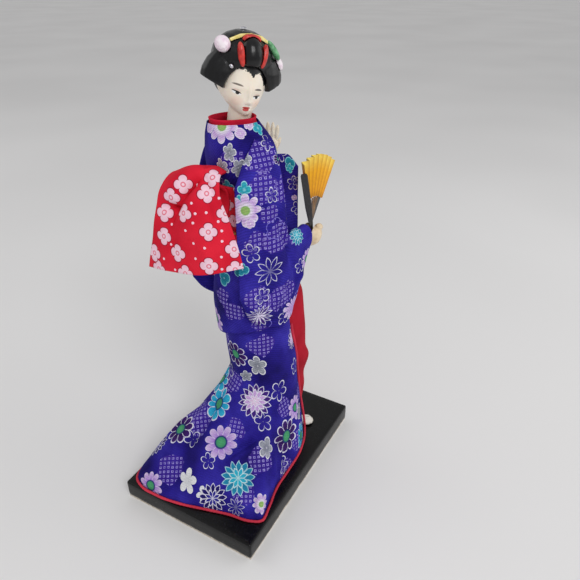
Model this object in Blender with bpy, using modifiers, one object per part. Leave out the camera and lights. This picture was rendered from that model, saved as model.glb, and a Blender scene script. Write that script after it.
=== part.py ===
"""Dressed dancer doll on a lacquered board, about 26 cm tall.

The board lies in the XY plane with its underside centre at the origin. The front of the display
is -Y, and the doll's train sweeps towards -X. Numbers in the tables are millimetres, and every
height of the figure is measured from the top of the board.
"""

import math

import bmesh
import bpy
import numpy as np
from mathutils import Matrix, Vector

MM = 0.001

# Board
BOARD_LENGTH = 128.0
BOARD_WIDTH = 90.0
BOARD_THICKNESS = 11.0
BOARD_EDGE_ROUND = 0.8
BACKING_THICKNESS = 1.3
BACKING_INSET = 0.5

# Fits
SEAT_GAP = 0.3
WIRE_CLEARANCE = 0.35

# Wires and the wooden neck peg
LEG_WIRE_RADIUS = 1.0
ARM_WIRE_RADIUS = 0.8
WIRE_SEAT_DEPTH = 7.0
PEG_RADIUS = 1.8
PEG_LENGTH = 16.0

# Cloth
CLOTH = 0.7
LAYER_GAP = 0.7
PIPING_RADIUS = 0.55
OBI_THICKNESS = 1.1
OBI_CORD_RADIUS = 0.8

# Fan
FAN_RADIUS = 44.0
FAN_LEAF_DEPTH = 23.0
FAN_GUARD_LENGTH = 39.5
FAN_LEAF_THICKNESS = 0.35
FAN_FOLDS = 14
FAN_FOLD_HEIGHT = 1.7
FAN_REAR_ANGLE = -16.5
FAN_FRONT_ANGLE = 38.0
RIB_WIDTH = 1.3
RIB_THICKNESS = 0.3
RIB_COUNT = 5
GUARD_WIDTH = 3.6
GUARD_THICKNESS = 0.8
RIB_SPACING = 0.2
RIVET_RADIUS = 0.45
RIVET_HEAD = 0.4
FAN_PIVOT = (38.5, -26.0, 141.5)
FAN_TURN = 0.0

BACKING_TOP = BACKING_THICKNESS
BOARD_BOTTOM = BACKING_TOP + SEAT_GAP
BOARD_TOP = BOARD_BOTTOM + BOARD_THICKNESS

# Middle line of the figure: height, x, y, and the way the body faces in degrees from +X
FIGURE_LINE = (
    (0, 15.0, -6.0, 0.0),
    (60, 14.0, -7.0, 0.0),
    (90, 11.5, -5.0, -2.0),
    (125, 10.0, -4.5, -4.0),
    (160, 9.0, -5.0, -8.0),
    (185, 7.0, -3.5, -20.0),
    (210, 6.5, -2.0, -36.0),
)

# Outer face of the tunic: height, reach to the front, back, right and left of the middle line
TUNIC_SECTIONS = (
    (93, 21.0, 22.0, 20.5, 22.5),
    (108, 21.0, 22.5, 20.5, 22.5),
    (124, 19.5, 21.0, 19.0, 21.0),
    (138, 17.0, 18.0, 17.0, 17.5),
    (149, 15.5, 16.0, 15.5, 15.5),
    (165, 15.2, 15.6, 15.2, 15.2),
    (180, 15.2, 16.0, 15.6, 15.6),
    (186, 16.0, 17.4, 17.4, 17.0),
    (192, 16.5, 17.6, 18.0, 17.5),
    (198, 15.5, 17.2, 17.0, 16.5),
    (203, 13.0, 16.8, 14.0, 14.5),
    (206, 11.0, 16.2, 12.0, 12.5),
    (208.5, 9.4, 15.6, 10.6, 10.6),
)
TUNIC_AROUND = 30
TUNIC_POWER = 2.2
TUNIC_HEM_TILT = 0.28
TUNIC_TILT_TOP = 150.0

# Edge of the train on the board, from the right front edge round the back to the left front edge
HEM_OUTLINE = (
    (29.0, -28.5),
    (21.0, -32.5),
    (8.0, -36.0),
    (-8.0, -37.0),
    (-24.0, -37.5),
    (-38.0, -40.5),
    (-46.5, -42.0),
    (-50.5, -36.0),
    (-52.5, -24.0),
    (-56.5, -9.0),
    (-60.5, 6.0),
    (-62.5, 22.0),
    (-62.0, 33.0),
    (-58.0, 40.5),
    (-46.0, 42.5),
    (-26.0, 41.5),
    (-6.0, 38.5),
    (12.0, 34.0),
    (26.0, 26.0),
    (35.0, 14.0),
)
# Waist-to-board profile of the skirt: height, share of the way from the knee ring to the hem
SKIRT_FLARE = (
    (0, 1.0),
    (5, 0.975),
    (12, 0.86),
    (22, 0.62),
    (34, 0.34),
    (46, 0.13),
    (60, 0.0),
    (104, 0.0),
)
KNEE_RADIUS = 20.6
SKIRT_TOP_RADIUS = 19.0
SKIRT_TOP = 104.0
RIGHT_EDGE_ANGLE = -56.0
LEFT_EDGE_ANGLE = 34.0

# Red underskirt: height, middle radius, and how far its front fold stands out
UNDERSKIRT_SECTIONS = (
    (21, 16.5, 12.0),
    (30, 16.0, 14.0),
    (42, 15.0, 15.0),
    (54, 15.5, 17.5),
    (64, 16.0, 14.5),
    (80, 16.0, 16.0),
    (100, 15.5, 16.5),
    (112, 14.5, 14.0),
    (119, 13.5, 7.0),
)
UNDERSKIRT_FOLD_ANGLE = -32.0
UNDERSKIRT_FOLD_WIDTH = 17.0
# Radians that the fold widens by for each millimetre of growth, so that its flanks keep their gap
FOLD_FLANK = 0.08

# Padded body inside the clothes: height, radius
CORE_SECTIONS = (
    (58, 9.0),
    (70, 11.0),
    (100, 12.0),
    (125, 12.5),
    (150, 13.8),
    (165, 13.8),
    (178, 13.8),
    (190, 12.0),
    (198, 7.5),
    (202, 5.0),
)

# Feet: heel x, y, direction in degrees
RIGHT_FOOT = (24.5, -17.0, -44.0)
LEFT_FOOT = (17.0, 3.0, -4.0)
FOOT_LENGTH = 23.0
FOOT_WIDTH = 9.0
FOOT_HEIGHT = 7.5
ANKLE_RADIUS = 3.4
ANKLE_TOP = 19.0
TOE_SLIT = 0.9

# Arms: points of each wire, from inside the padded body to the palm
RIGHT_ARM = ((4.5, -6.0, 190.0), (2.0, -18.5, 188.5), (2.5, -25.4, 177.0), (4.5, -27.4, 160.0),
             (12.0, -27.6, 146.0), (34.0, -26.6, 141.5))
LEFT_ARM = ((10.0, 2.0, 190.0), (14.0, 14.5, 189.0), (18.5, 21.5, 178.0), (25.5, 18.5, 165.0),
            (31.5, 9.0, 165.0), (33.4, 0.5, 174.0), (31.6, -4.0, 185.0))
ARMHOLE_RADIUS = 3.0
ARM_POINTS = 18
UPPER_ARM_SHARE = 0.4
WRIST_POINTS = 4

# Loops along a sleeve, its gap to the tunic and sash, and its least thickness as a flat bag
SLEEVE_LOOPS = 12
SLEEVE_GAP = 0.9
SLEEVE_LEAST = 3.0
SASH_BLEND = 8.0

# Heights between which a sleeve leans in over the shoulder
SHOULDER_LOW = 184.0
SHOULDER_HIGH = 207.0

# Sleeves, from the rear edge to the cuff: x, y, top, bottom, half thickness, lean of the top
RIGHT_SLEEVE = (
    (-15.5, -13.0, 182, 122, 2.3, 0.0),
    (-13.2, -16.4, 193, 110, 2.7, 1.5),
    (-9.5, -19.6, 200, 105, 3.2, 4.0),
    (-4.0, -22.6, 204, 102, 4.2, 7.0),
    (3.0, -24.4, 204, 100, 4.6, 7.0),
    (8.5, -25.2, 197, 99, 4.8, 5.0),
    (11.5, -25.5, 184, 99, 4.9, 1.0),
    (13.5, -25.6, 163, 101, 5.0, 0.0),
    (16.0, -25.7, 153, 105, 5.0, 0.0),
    (21.0, -25.9, 151, 116, 5.0, 0.0),
    (26.0, -26.0, 150, 127, 4.9, 0.0),
    (31.0, -26.2, 150, 136, 4.8, 0.0),
)
LEFT_SLEEVE = (
    (0.0, 30.0, 152, 116, 2.3, 0.0),
    (5.0, 28.6, 168, 108, 3.0, 1.0),
    (11.0, 26.0, 184, 102, 4.0, 3.5),
    (17.0, 23.2, 197, 98, 4.6, 8.0),
    (24.0, 18.6, 192, 98, 4.8, 4.0),
    (30.0, 11.0, 184, 104, 4.8, 0.5),
    (33.2, 3.0, 184, 114, 4.8, 0.0),
    (35.0, -4.0, 185, 128, 4.6, 0.0),
    (35.9, -9.6, 181, 142, 3.9, 0.0),
    (36.1, -13.0, 175, 148, 3.0, 0.0),
)
LEFT_CUFF = ((33.4, -1.0, 176.0), (31.0, -6.0, 198.0))
LEFT_CUFF_RADIUS = 4.2

# Sash: heights of its lower and upper edge, and of the cord tied round it
OBI_BOTTOM = 149.0
OBI_TOP = 180.0
OBI_ROOM_ENDS = (138.0, 186.0)
OBI_CORD_HEIGHT = 156.0
# Loop of the bow behind the back: centre line points and half sizes along x and z
KNOT_LINE = ((-18.7, 23.0, 172.5), (-18.2, 16.0, 174.5), (-17.3, 8.0, 176.0), (-16.7, 0.0, 176.0),
             (-16.7, -6.0, 175.0))
KNOT_HALF = (6.6, 8.6)
KNOT_FOLD = 1.1
# Hanging tail of the bow: rows from its top fold to its lower edge, left to right
TAIL_ROWS = (
    ((-12.8, 13.0, 186.5), (-12.0, 6.0, 189.0), (-11.5, 0.0, 189.5), (-11.6, -6.0, 187.5)),
    ((-20.8, 17.0, 187.0), (-19.8, 9.0, 190.2), (-18.4, 1.0, 190.6), (-17.0, -7.0, 188.0)),
    ((-29.0, 20.0, 180.0), (-28.0, 10.0, 184.0), (-26.0, 0.0, 184.0), (-22.6, -10.0, 181.0)),
    ((-31.5, 22.5, 168.0), (-32.0, 10.0, 172.0), (-29.6, -3.0, 172.5), (-24.0, -15.0, 170.5)),
    ((-32.5, 25.5, 154.0), (-34.0, 10.0, 157.0), (-32.0, -5.0, 158.5), (-24.6, -19.5, 158.5)),
    ((-33.0, 29.5, 139.0), (-35.5, 13.0, 141.5), (-34.0, -5.0, 143.5), (-25.0, -22.8, 147.5)),
)

TAIL_ACROSS = 10
TAIL_DOWN = 12

# Hands
RIGHT_PALM = (39.2, -26.2, 140.9)
LEFT_PALM = (30.8, -5.4, 190.0)
WRIST_RADIUS = 2.6

# Head
HEAD_CENTRE = (6.9, -4.0, 225.0)
HEAD_TURN = -124.0
HEAD_ROLL = -8.0
HEAD_NOD = 6.0
HEAD_WIDTH = 22.8
HEAD_DEPTH = 23.5
HEAD_HEIGHT = 34.0
CHIN_HEIGHT = 13.2
CHIN_FORWARD = 4.4
CHIN_ASIDE = 1.6
NECK_RADIUS = 5.6
NECK_BOTTOM = 203.5
NECK_POSITION = (6.6, -2.2)

PARTS = None
CUTTERS = None


def clear_scene():
    """Removes every object and makes one collection for the parts and one for the cutters."""
    global PARTS, CUTTERS
    for old in list(bpy.data.objects):
        bpy.data.objects.remove(old)
    PARTS = bpy.data.collections.new("dancer_doll")
    CUTTERS = bpy.data.collections.new("cutters")
    for group in (PARTS, CUTTERS):
        bpy.context.scene.collection.children.link(group)


def material(name, colour, roughness, metallic=0.0):
    """A Principled material of one colour, made once for each name."""
    found = bpy.data.materials.get(name)
    if found:
        return found
    made = bpy.data.materials.new(name)
    made.use_nodes = True
    shader = made.node_tree.nodes["Principled BSDF"]
    shader.inputs["Base Color"].default_value = (*colour, 1.0)
    shader.inputs["Roughness"].default_value = roughness
    shader.inputs["Metallic"].default_value = metallic
    made.diffuse_color = (*colour, 1.0)
    return made


LACQUER = ("black_lacquer", (0.01, 0.01, 0.012), 0.25)
CARD = ("backing_card", (0.62, 0.5, 0.36), 0.85)
PORCELAIN = ("skin_white", (0.9, 0.82, 0.7), 0.35)
HAIR = ("hair_black", (0.01, 0.01, 0.011), 0.22)
ROBE = ("robe_print", (0.06, 0.03, 0.32), 0.8)
RED_CLOTH = ("red_cloth", (0.6, 0.01, 0.03), 0.75)
OBI = ("obi_print", (0.78, 0.02, 0.05), 0.7)
STEEL = ("steel_wire", (0.5, 0.5, 0.5), 0.35, 1.0)
PADDING = ("padding", (0.75, 0.72, 0.65), 0.9)
WOOD = ("peg_wood", (0.6, 0.42, 0.24), 0.7)
YELLOW_PAPER = ("fan_paper", (0.95, 0.6, 0.03), 0.6)
FAN_BLACK = ("fan_black", (0.015, 0.013, 0.012), 0.4)
RIB_WOOD = ("fan_rib", (0.25, 0.16, 0.05), 0.5)
BRASS = ("brass", (0.8, 0.6, 0.25), 0.3, 1.0)
GOLD_CORD = ("gold_cord", (0.65, 0.35, 0.06), 0.6)
PINK = ("petal_pink", (0.9, 0.72, 0.82), 0.4)
CREAM_YELLOW = ("band_yellow", (0.9, 0.78, 0.4), 0.4)
GREEN = ("leaf_green", (0.25, 0.6, 0.35), 0.4)
RED_PAINT = ("ribbon_red", (0.7, 0.06, 0.05), 0.3)
SILVER = ("pin_silver", (0.8, 0.8, 0.85), 0.3, 1.0)


def add_object(name, mesh, finish=None, cutter=False):
    """Links a mesh as a part, or as a hidden cutter."""
    made = bpy.data.objects.new(name, mesh)
    (CUTTERS if cutter else PARTS).objects.link(made)
    if finish:
        mesh.materials.append(material(*finish))
    if cutter:
        made.hide_render = True
        made.display_type = "WIRE"
    return made


def smooth(mesh, angle=40.0):
    """Smooth shading with sharp edges where faces meet at more than angle degrees."""
    mesh.shade_smooth()
    mesh.set_sharp_from_angle(angle=math.radians(angle))


def from_bmesh(name, bm, finish=None, cutter=False, outward=True):
    """Writes a bmesh in millimetres above the board's top as an object in metres."""
    if outward:
        bmesh.ops.recalc_face_normals(bm, faces=bm.faces)
    bmesh.ops.scale(bm, vec=(MM, MM, MM), verts=bm.verts)
    bmesh.ops.translate(bm, vec=(0, 0, BOARD_TOP * MM), verts=bm.verts)
    mesh = bpy.data.meshes.new(name)
    bm.to_mesh(mesh)
    bm.free()
    smooth(mesh)
    return add_object(name, mesh, finish, cutter)


def spline(stations, at):
    """Smooth values between rows of (position, value, ...), as a cubic through every row."""
    rows = np.array(stations, float)
    where = np.clip(np.atleast_1d(at).astype(float), rows[0, 0], rows[-1, 0])
    step = np.diff(rows[:, 0])[:, None]
    rise = np.diff(rows[:, 1:], axis=0) / step
    slope = np.vstack([rise[:1], (rise[1:] + rise[:-1]) / 2, rise[-1:]])
    flat = np.vstack([np.zeros_like(rise[:1], bool), rise[1:] * rise[:-1] <= 0,
                      np.zeros_like(rise[:1], bool)])
    slope[flat] = 0.0
    i = np.clip(np.searchsorted(rows[:, 0], where, side="right") - 1, 0, len(rows) - 2)
    h = step[i]
    t = ((where - rows[i, 0])[:, None]) / h
    a, b = rows[i, 1:], rows[i + 1, 1:]
    return (a * (2 * t**3 - 3 * t**2 + 1) + b * (3 * t**2 - 2 * t**3)
            + slope[i] * h * (t**3 - 2 * t**2 + t) + slope[i + 1] * h * (t**3 - t**2))


def loop_spline(points, count, closed):
    """Evenly shared points on a smooth line through the given ones."""
    given = np.array(points, float)
    if closed:
        given = np.vstack([given, given[:1]])
    along = np.concatenate([[0], np.cumsum(np.linalg.norm(np.diff(given, axis=0), axis=1))])
    where = np.linspace(0, along[-1], count + closed)[: count]
    return spline(np.column_stack([along, given]), where)


def oval(front, back, right, left, angles, power=2.0):
    """Reach of an egg-shaped section at angles from its front, in radians."""
    ahead = np.where(np.cos(angles) > 0, front, back)
    aside = np.where(np.sin(angles) > 0, left, right)
    return (np.abs(np.cos(angles) / ahead) ** power
            + np.abs(np.sin(angles) / aside) ** power) ** (-1 / power)


def grid_faces(bm, rows, wrap, cap_start=False, cap_end=False):
    """Faces between successive rows of points. Wrap joins each row's end to its start."""
    lines = [[bm.verts.new(p) for p in row] for row in rows]
    for lower, upper in zip(lines, lines[1:]):
        n = len(lower)
        for i in range(n if wrap else n - 1):
            j = (i + 1) % n
            bm.faces.new((lower[i], lower[j], upper[j], upper[i]))
    if cap_start:
        bm.faces.new(lines[0][::-1])
    if cap_end:
        bm.faces.new(lines[-1])


def loft(name, rows, finish, cutter=False):
    """Closed solid through closed rings of points."""
    bm = bmesh.new()
    grid_faces(bm, rows, True, cap_start=True, cap_end=True)
    return from_bmesh(name, bm, finish, cutter)


def shell(name, rows, finish, thickness, wrap=True):
    """Cloth: an open surface whose given face is the outer one, thickened inwards."""
    bm = bmesh.new()
    grid_faces(bm, rows, wrap)
    made = from_bmesh(name, bm, finish, outward=False)
    thick = made.modifiers.new("cloth", "SOLIDIFY")
    thick.thickness = thickness * MM
    thick.offset = -1.0
    return made


def bag_solid(name, outer, inner, finish):
    """Closed wall between two open-ended tubes, one inside the other, row for row. Both tubes
    are split along the same diagonals, so that they keep their distance where they twist."""
    bm = bmesh.new()
    out = [[bm.verts.new(p) for p in row] for row in outer]
    into = [[bm.verts.new(p) for p in row] for row in inner]
    for tube in (out, into):
        for one, other in zip(tube, tube[1:]):
            for a, b, c, d in zip(one, one[1:] + one[:1], other[1:] + other[:1], other):
                bm.faces.new((a, b, c))
                bm.faces.new((a, c, d))
    for one, other in ((out[0], into[0]), (out[-1], into[-1])):
        for a, b, c, d in zip(one, one[1:] + one[:1], other[1:] + other[:1], other):
            bm.faces.new((a, b, c, d))
    return from_bmesh(name, bm, finish)


def rod(name, points, radius, finish, resolution=2, cutter=False, closed=False):
    """Round wire, cord or peg along a line of points."""
    curve = bpy.data.curves.new(name, "CURVE")
    curve.dimensions = "3D"
    line = curve.splines.new("POLY")
    line.points.add(len(points) - 1)
    for place, p in zip(line.points, points):
        place.co = (p[0] * MM, p[1] * MM, (p[2] + BOARD_TOP) * MM, 1.0)
    line.use_cyclic_u = closed
    curve.bevel_depth = radius * MM
    curve.bevel_resolution = resolution
    curve.use_fill_caps = True
    made = bpy.data.objects.new(name, curve)
    (CUTTERS if cutter else PARTS).objects.link(made)
    if finish:
        curve.materials.append(material(*finish))
    return made


def as_mesh(obj, name=None, cutter=False):
    """Turns a curve, or an object with modifiers, into a plain welded mesh object."""
    name = name or obj.name
    graph = bpy.context.evaluated_depsgraph_get()
    mesh = bpy.data.meshes.new_from_object(obj.evaluated_get(graph))
    bm = bmesh.new()
    bm.from_mesh(mesh)
    bmesh.ops.remove_doubles(bm, verts=bm.verts, dist=0.01 * MM)
    bmesh.ops.recalc_face_normals(bm, faces=bm.faces)
    bm.to_mesh(mesh)
    bm.free()
    place = obj.matrix_world.copy()
    bpy.data.objects.remove(obj)
    made = add_object(name, mesh, cutter=cutter)
    made.matrix_world = place
    return made


def cut(part, cutter, operation="DIFFERENCE"):
    """Adds a Boolean to a part."""
    step = part.modifiers.new(cutter.name, "BOOLEAN")
    step.operation = operation
    step.object = cutter
    step.solver = "EXACT"
    return part


def wire_cutter(name, points, radius):
    """Hidden round cutter along a wire, wider and longer than it by the clearances."""
    line = [np.array(p, float) for p in points]
    for end, beside in ((0, 1), (-1, -2)):
        out = line[end] - line[beside]
        line[end] = line[end] + out / np.linalg.norm(out) * SEAT_GAP
    return as_mesh(rod(name, line, radius + WIRE_CLEARANCE, None, cutter=True), cutter=True)


def block(name, size, centre, finish, round_edge=0.0, cutter=False, turn=None):
    """Box of a size in millimetres. Its centre's height is measured from the board's top."""
    bm = bmesh.new()
    bmesh.ops.create_cube(bm, size=1.0)
    bmesh.ops.scale(bm, vec=size, verts=bm.verts)
    if turn is not None:
        bmesh.ops.transform(bm, matrix=turn, verts=bm.verts)
    bmesh.ops.translate(bm, vec=centre, verts=bm.verts)
    made = from_bmesh(name, bm, finish, cutter)
    if round_edge:
        edge = made.modifiers.new("edge", "BEVEL")
        edge.width = round_edge * MM
        edge.segments = 2
    return made


def middle(z):
    """x, y and facing angle in radians of the figure's middle line at heights z."""
    x, y, turn = spline(FIGURE_LINE, z).T
    return x, y, np.radians(turn)


def tunic_point(z, angles, inset=0.0):
    """Points of the tunic's outer face, moved inwards by inset, at angles from the body's front."""
    front, back, right, left = spline(TUNIC_SECTIONS, z).T
    x, y, turn = middle(z)
    reach = oval(front[:, None], back[:, None], right[:, None], left[:, None],
                 angles[None, :], TUNIC_POWER) - inset
    px = x[:, None] + reach * np.cos(angles[None, :] + turn[:, None])
    py = y[:, None] + reach * np.sin(angles[None, :] + turn[:, None])
    drop = np.clip((TUNIC_TILT_TOP - z) / (TUNIC_TILT_TOP - TUNIC_SECTIONS[0][0]), 0, 1)
    pz = z[:, None] - TUNIC_HEM_TILT * py * drop[:, None]
    return np.stack([px, py, pz], -1)


def turn_about(count):
    """Angles of a whole turn."""
    return np.linspace(0, 2 * math.pi, count, endpoint=False)


def make_board(leg_wires):
    """Lacquered board with its two wire holes, and the thin card glued under it."""
    board = block("base_board", (BOARD_LENGTH, BOARD_WIDTH, BOARD_THICKNESS),
                  (0, 0, -BOARD_THICKNESS / 2), LACQUER, BOARD_EDGE_ROUND)
    for side, points in leg_wires.items():
        cut(board, wire_cutter("board_hole_" + side, points[:2], LEG_WIRE_RADIUS))
    block("base_backing", (BOARD_LENGTH - 2 * BACKING_INSET, BOARD_WIDTH - 2 * BACKING_INSET,
                           BACKING_THICKNESS),
          (0, 0, BACKING_THICKNESS / 2 - BOARD_TOP), CARD)


def leg_line(foot):
    """Points of a leg wire, from inside the board up into the padded body."""
    heel_x, heel_y, turn = foot
    lean = math.radians(turn)
    x = heel_x + ANKLE_RADIUS * math.cos(lean)
    y = heel_y + ANKLE_RADIUS * math.sin(lean)
    core_bottom = CORE_SECTIONS[0][0]
    cx, cy, _ = middle(core_bottom)
    side = 4.0 if heel_y > cy[0] else -4.0
    top = core_bottom + WIRE_SEAT_DEPTH
    return ((x, y, -WIRE_SEAT_DEPTH), (x, y, ANKLE_TOP + 3), (cx[0], cy[0] + side, core_bottom - 8),
            (cx[0], cy[0] + side, top))


def make_foot(name, foot, wire, toe_side):
    """Moulded split-toe foot: a loft from heel to toes with a stub of ankle round its wire."""
    heel_x, heel_y, turn = foot
    lean = math.radians(turn)
    along = np.array([-3.2, -2.6, 0.0, 5.0, 10.0, 15.0, FOOT_LENGTH - 5.2, FOOT_LENGTH - 3.4])
    along = along * (FOOT_LENGTH / 23.0)
    half = np.array([0.2, 0.62, 0.74, 0.66, 0.8, 1.0, 0.86, 0.35]) * FOOT_WIDTH / 2
    high = np.array([0.45, 0.85, 1.0, 0.86, 0.68, 0.52, 0.42, 0.26]) * FOOT_HEIGHT
    angles = turn_about(14)
    rows = []
    for u, w, h in zip(along, half, high):
        side = w * np.sign(np.cos(angles)) * np.abs(np.cos(angles)) ** 0.8
        up = SEAT_GAP + h / 2 + h / 2 * np.sign(np.sin(angles)) * np.abs(np.sin(angles)) ** 0.7
        rows.append(np.column_stack([heel_x + u * math.cos(lean) - side * math.sin(lean),
                                     heel_y + u * math.sin(lean) + side * math.cos(lean), up]))
    body = loft(name, rows, PORCELAIN)
    x, y, _ = wire[0]
    ankle = as_mesh(rod(name + "_ankle", ((x, y, FOOT_HEIGHT / 2), (x, y, ANKLE_TOP)),
                        ANKLE_RADIUS, None, 3, True), cutter=True)
    cut(body, ankle, "UNION")
    slit_at = Vector((heel_x, heel_y, 0)) + Matrix.Rotation(lean, 3, "Z") @ Vector(
        (FOOT_LENGTH - 3.4, toe_side * FOOT_WIDTH * 0.14, FOOT_HEIGHT / 2))
    slit = block(name + "_toe_slit", (9.0, TOE_SLIT, 2 * FOOT_HEIGHT), slit_at, None,
                 cutter=True, turn=Matrix.Rotation(lean, 4, "Z"))
    cut(body, slit)
    cut(body, wire_cutter(name + "_wire_hole", (wire[0], wire[1]), LEG_WIRE_RADIUS))


def core_rows():
    """Rings of the padded body, from the bottom up."""
    z = np.array([row[0] for row in CORE_SECTIONS], float)
    radius = np.array([row[1] for row in CORE_SECTIONS])
    x, y, _ = middle(z)
    angles = turn_about(16)
    return [np.column_stack([cx + r * np.cos(angles), cy + r * np.sin(angles), np.full(16, h)])
            for cx, cy, r, h in zip(x, y, radius, z)]


def make_core(leg_wires, arm_wires):
    """Padded body with blind holes for the leg wires, the arm wires and the neck peg."""
    core = loft("body_core", core_rows(), PADDING)
    for side, points in leg_wires.items():
        cut(core, wire_cutter("core_leg_hole_" + side, points[2:], LEG_WIRE_RADIUS))
    for side, points in arm_wires.items():
        cut(core, wire_cutter("core_arm_hole_" + side, points, ARM_WIRE_RADIUS))
    top = CORE_SECTIONS[-1][0]
    x, y = NECK_POSITION
    cut(core, wire_cutter("core_peg_hole", ((x, y, top - PEG_LENGTH / 2), (x, y, top + 2)),
                          PEG_RADIUS))


def head_frame():
    """Rotation and centre of the head: +X is its face, +Y its left ear, +Z its crown."""
    turn = (Matrix.Rotation(math.radians(HEAD_TURN), 4, "Z")
            @ Matrix.Rotation(math.radians(HEAD_ROLL), 4, "X")
            @ Matrix.Rotation(math.radians(HEAD_NOD), 4, "Y"))
    return Matrix.Translation(HEAD_CENTRE) @ turn


def to_head(points):
    """Points of the head's own frame, moved to their place above the board."""
    frame = np.array(head_frame())
    return points @ frame[:3, :3].T + frame[:3, 3]


def head_surface(grow=0.0, rings=13, around=20):
    """Rings of the skull and face: an egg that narrows to the chin, with a small nose."""
    polar = np.linspace(0.12, math.pi - 0.1, rings)[:, None]
    angle = turn_about(around)[None, :]
    up = np.cos(polar)
    narrow = 1.0 - 0.34 * np.clip(-up, 0, 1) ** 1.4
    x = np.sin(polar) * np.cos(angle) * HEAD_DEPTH / 2 * (1 - 0.2 * np.clip(-up, 0, 1))
    y = np.sin(polar) * np.sin(angle) * HEAD_WIDTH / 2 * narrow
    z = up * np.where(up > 0, HEAD_HEIGHT / 2, CHIN_HEIGHT) + 0 * angle
    chin = np.clip(-up, 0, 1) ** 2
    x = x + CHIN_FORWARD * chin
    nose = np.exp(-((y / 1.5) ** 2) - ((z + 4.6) / 2.6) ** 2) * (np.cos(angle) > 0)
    y = y + CHIN_ASIDE * chin
    x = x + 1.3 * nose
    points = np.stack([x, y, z], -1)
    return points * (1 + grow / (HEAD_WIDTH / 2))


def make_head():
    """Moulded head and neck, and the wooden peg that holds it in the padded body."""
    rows = [to_head(row) for row in head_surface()]
    head = loft("head", rows, PORCELAIN)
    x, y = NECK_POSITION
    chin_z = HEAD_CENTRE[2] - CHIN_HEIGHT / 2
    lean = ((x, y, NECK_BOTTOM), (x, y, NECK_BOTTOM + 3),
            (HEAD_CENTRE[0], HEAD_CENTRE[1], chin_z), (HEAD_CENTRE[0], HEAD_CENTRE[1], chin_z + 4))
    neck = as_mesh(rod("neck_shape", lean, NECK_RADIUS, None, 4, True), cutter=True)
    cut(head, neck, "UNION")
    peg_top = NECK_BOTTOM + PEG_LENGTH / 2
    peg = ((x, y, CORE_SECTIONS[-1][0] - PEG_LENGTH / 2 + SEAT_GAP), (x, y, peg_top))
    cut(head, wire_cutter("neck_peg_hole", ((x, y, NECK_BOTTOM - 2), (x, y, peg_top + SEAT_GAP)),
                          PEG_RADIUS))
    rod("neck_peg", peg, PEG_RADIUS, WOOD, 3)


def egg(name, centre, reach, tilt=(0, 0, 0), grow=0.0, cutter=True, finish=None, detail=(16, 10)):
    """Ellipsoid in the head's own frame, with its half sizes and its tilt in degrees."""
    bm = bmesh.new()
    bmesh.ops.create_uvsphere(bm, u_segments=detail[0], v_segments=detail[1], radius=1.0)
    bmesh.ops.scale(bm, vec=[r + grow for r in reach], verts=bm.verts)
    spin = (Matrix.Rotation(math.radians(tilt[2]), 4, "Z")
            @ Matrix.Rotation(math.radians(tilt[1]), 4, "Y")
            @ Matrix.Rotation(math.radians(tilt[0]), 4, "X"))
    bmesh.ops.transform(bm, matrix=head_frame() @ Matrix.Translation(centre) @ spin,
                        verts=bm.verts)
    return from_bmesh(name, bm, finish, cutter)


# Masses of the hair in the head's frame: name, centre, half sizes, tilt
HAIR_WINGS = ((0.4, 0.0, 1.6), (10.4, 20.2, 17.0), (0, 0, 0))
HAIR_MASSES = (
    ("crown", (-1.6, 0.0, 11.4), (13.0, 14.6, 11.6), (0, 0, 0)),
    ("nape", (-8.0, 0.0, 1.0), (7.6, 11.0, 9.5), (0, -16, 0)),
    ("forelock", (9.0, 0.0, 15.0), (4.4, 5.0, 7.0), (0, -24, 0)),
)
ORNAMENT_DETAIL = (12, 8)
ORNAMENT_NEIGHBOURS = ("hair_flower_right", "hair_flower_left", "hair_leaf", "hair_ribbon_arch")
BAND_LOW = 15.5
HAIR_REACH = 30.0
WING_UNDERSIDE = 23.0
WING_ROOT = (11.5, -0.8)
BROW_LINE = ((12.4, -0.6, -3.0), (10.5, 12.4, 13.6))


def hair_union(name, grow=0.0, finish=None, cutter=True):
    """One body made of all the masses of the hair, with its wings cut off slanting below."""
    body = egg(name, *HAIR_WINGS, grow=grow, cutter=cutter, finish=finish, detail=(22, 12))
    side_y, side_z = WING_ROOT
    for side in (1, -1):
        tilt = Matrix.Rotation(math.radians(side * WING_UNDERSIDE), 4, "X")
        place = Matrix.Translation((0.0, side * side_y, side_z - grow)) @ tilt
        under = block(f"{name}_under_{side + 1}", (2 * HAIR_REACH,) * 3, (0, 0, 0), None,
                      cutter=True,
                      turn=head_frame() @ place @ Matrix.Translation((0, 0, -HAIR_REACH)))
        cut(body, under)
    for label, centre, size, tilt in HAIR_MASSES:
        cut(body, egg(f"{name}_{label}", centre, size, tilt, grow), "UNION")
    return body


def make_hair():
    """Moulded hair, hollowed to fit over the skull."""
    hair = hair_union("hair", finish=HAIR, cutter=False)
    skull = loft("hair_hollow", [to_head(row) for row in head_surface(SEAT_GAP)], None, True)
    cut(hair, skull)
    cut(hair, egg("hair_brow_line", *BROW_LINE))
    x, y = NECK_POSITION
    cut(hair, wire_cutter("hair_neck_room", ((x, y, 205), (HEAD_CENTRE[0], HEAD_CENTRE[1], 219)),
                          NECK_RADIUS))


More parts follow.
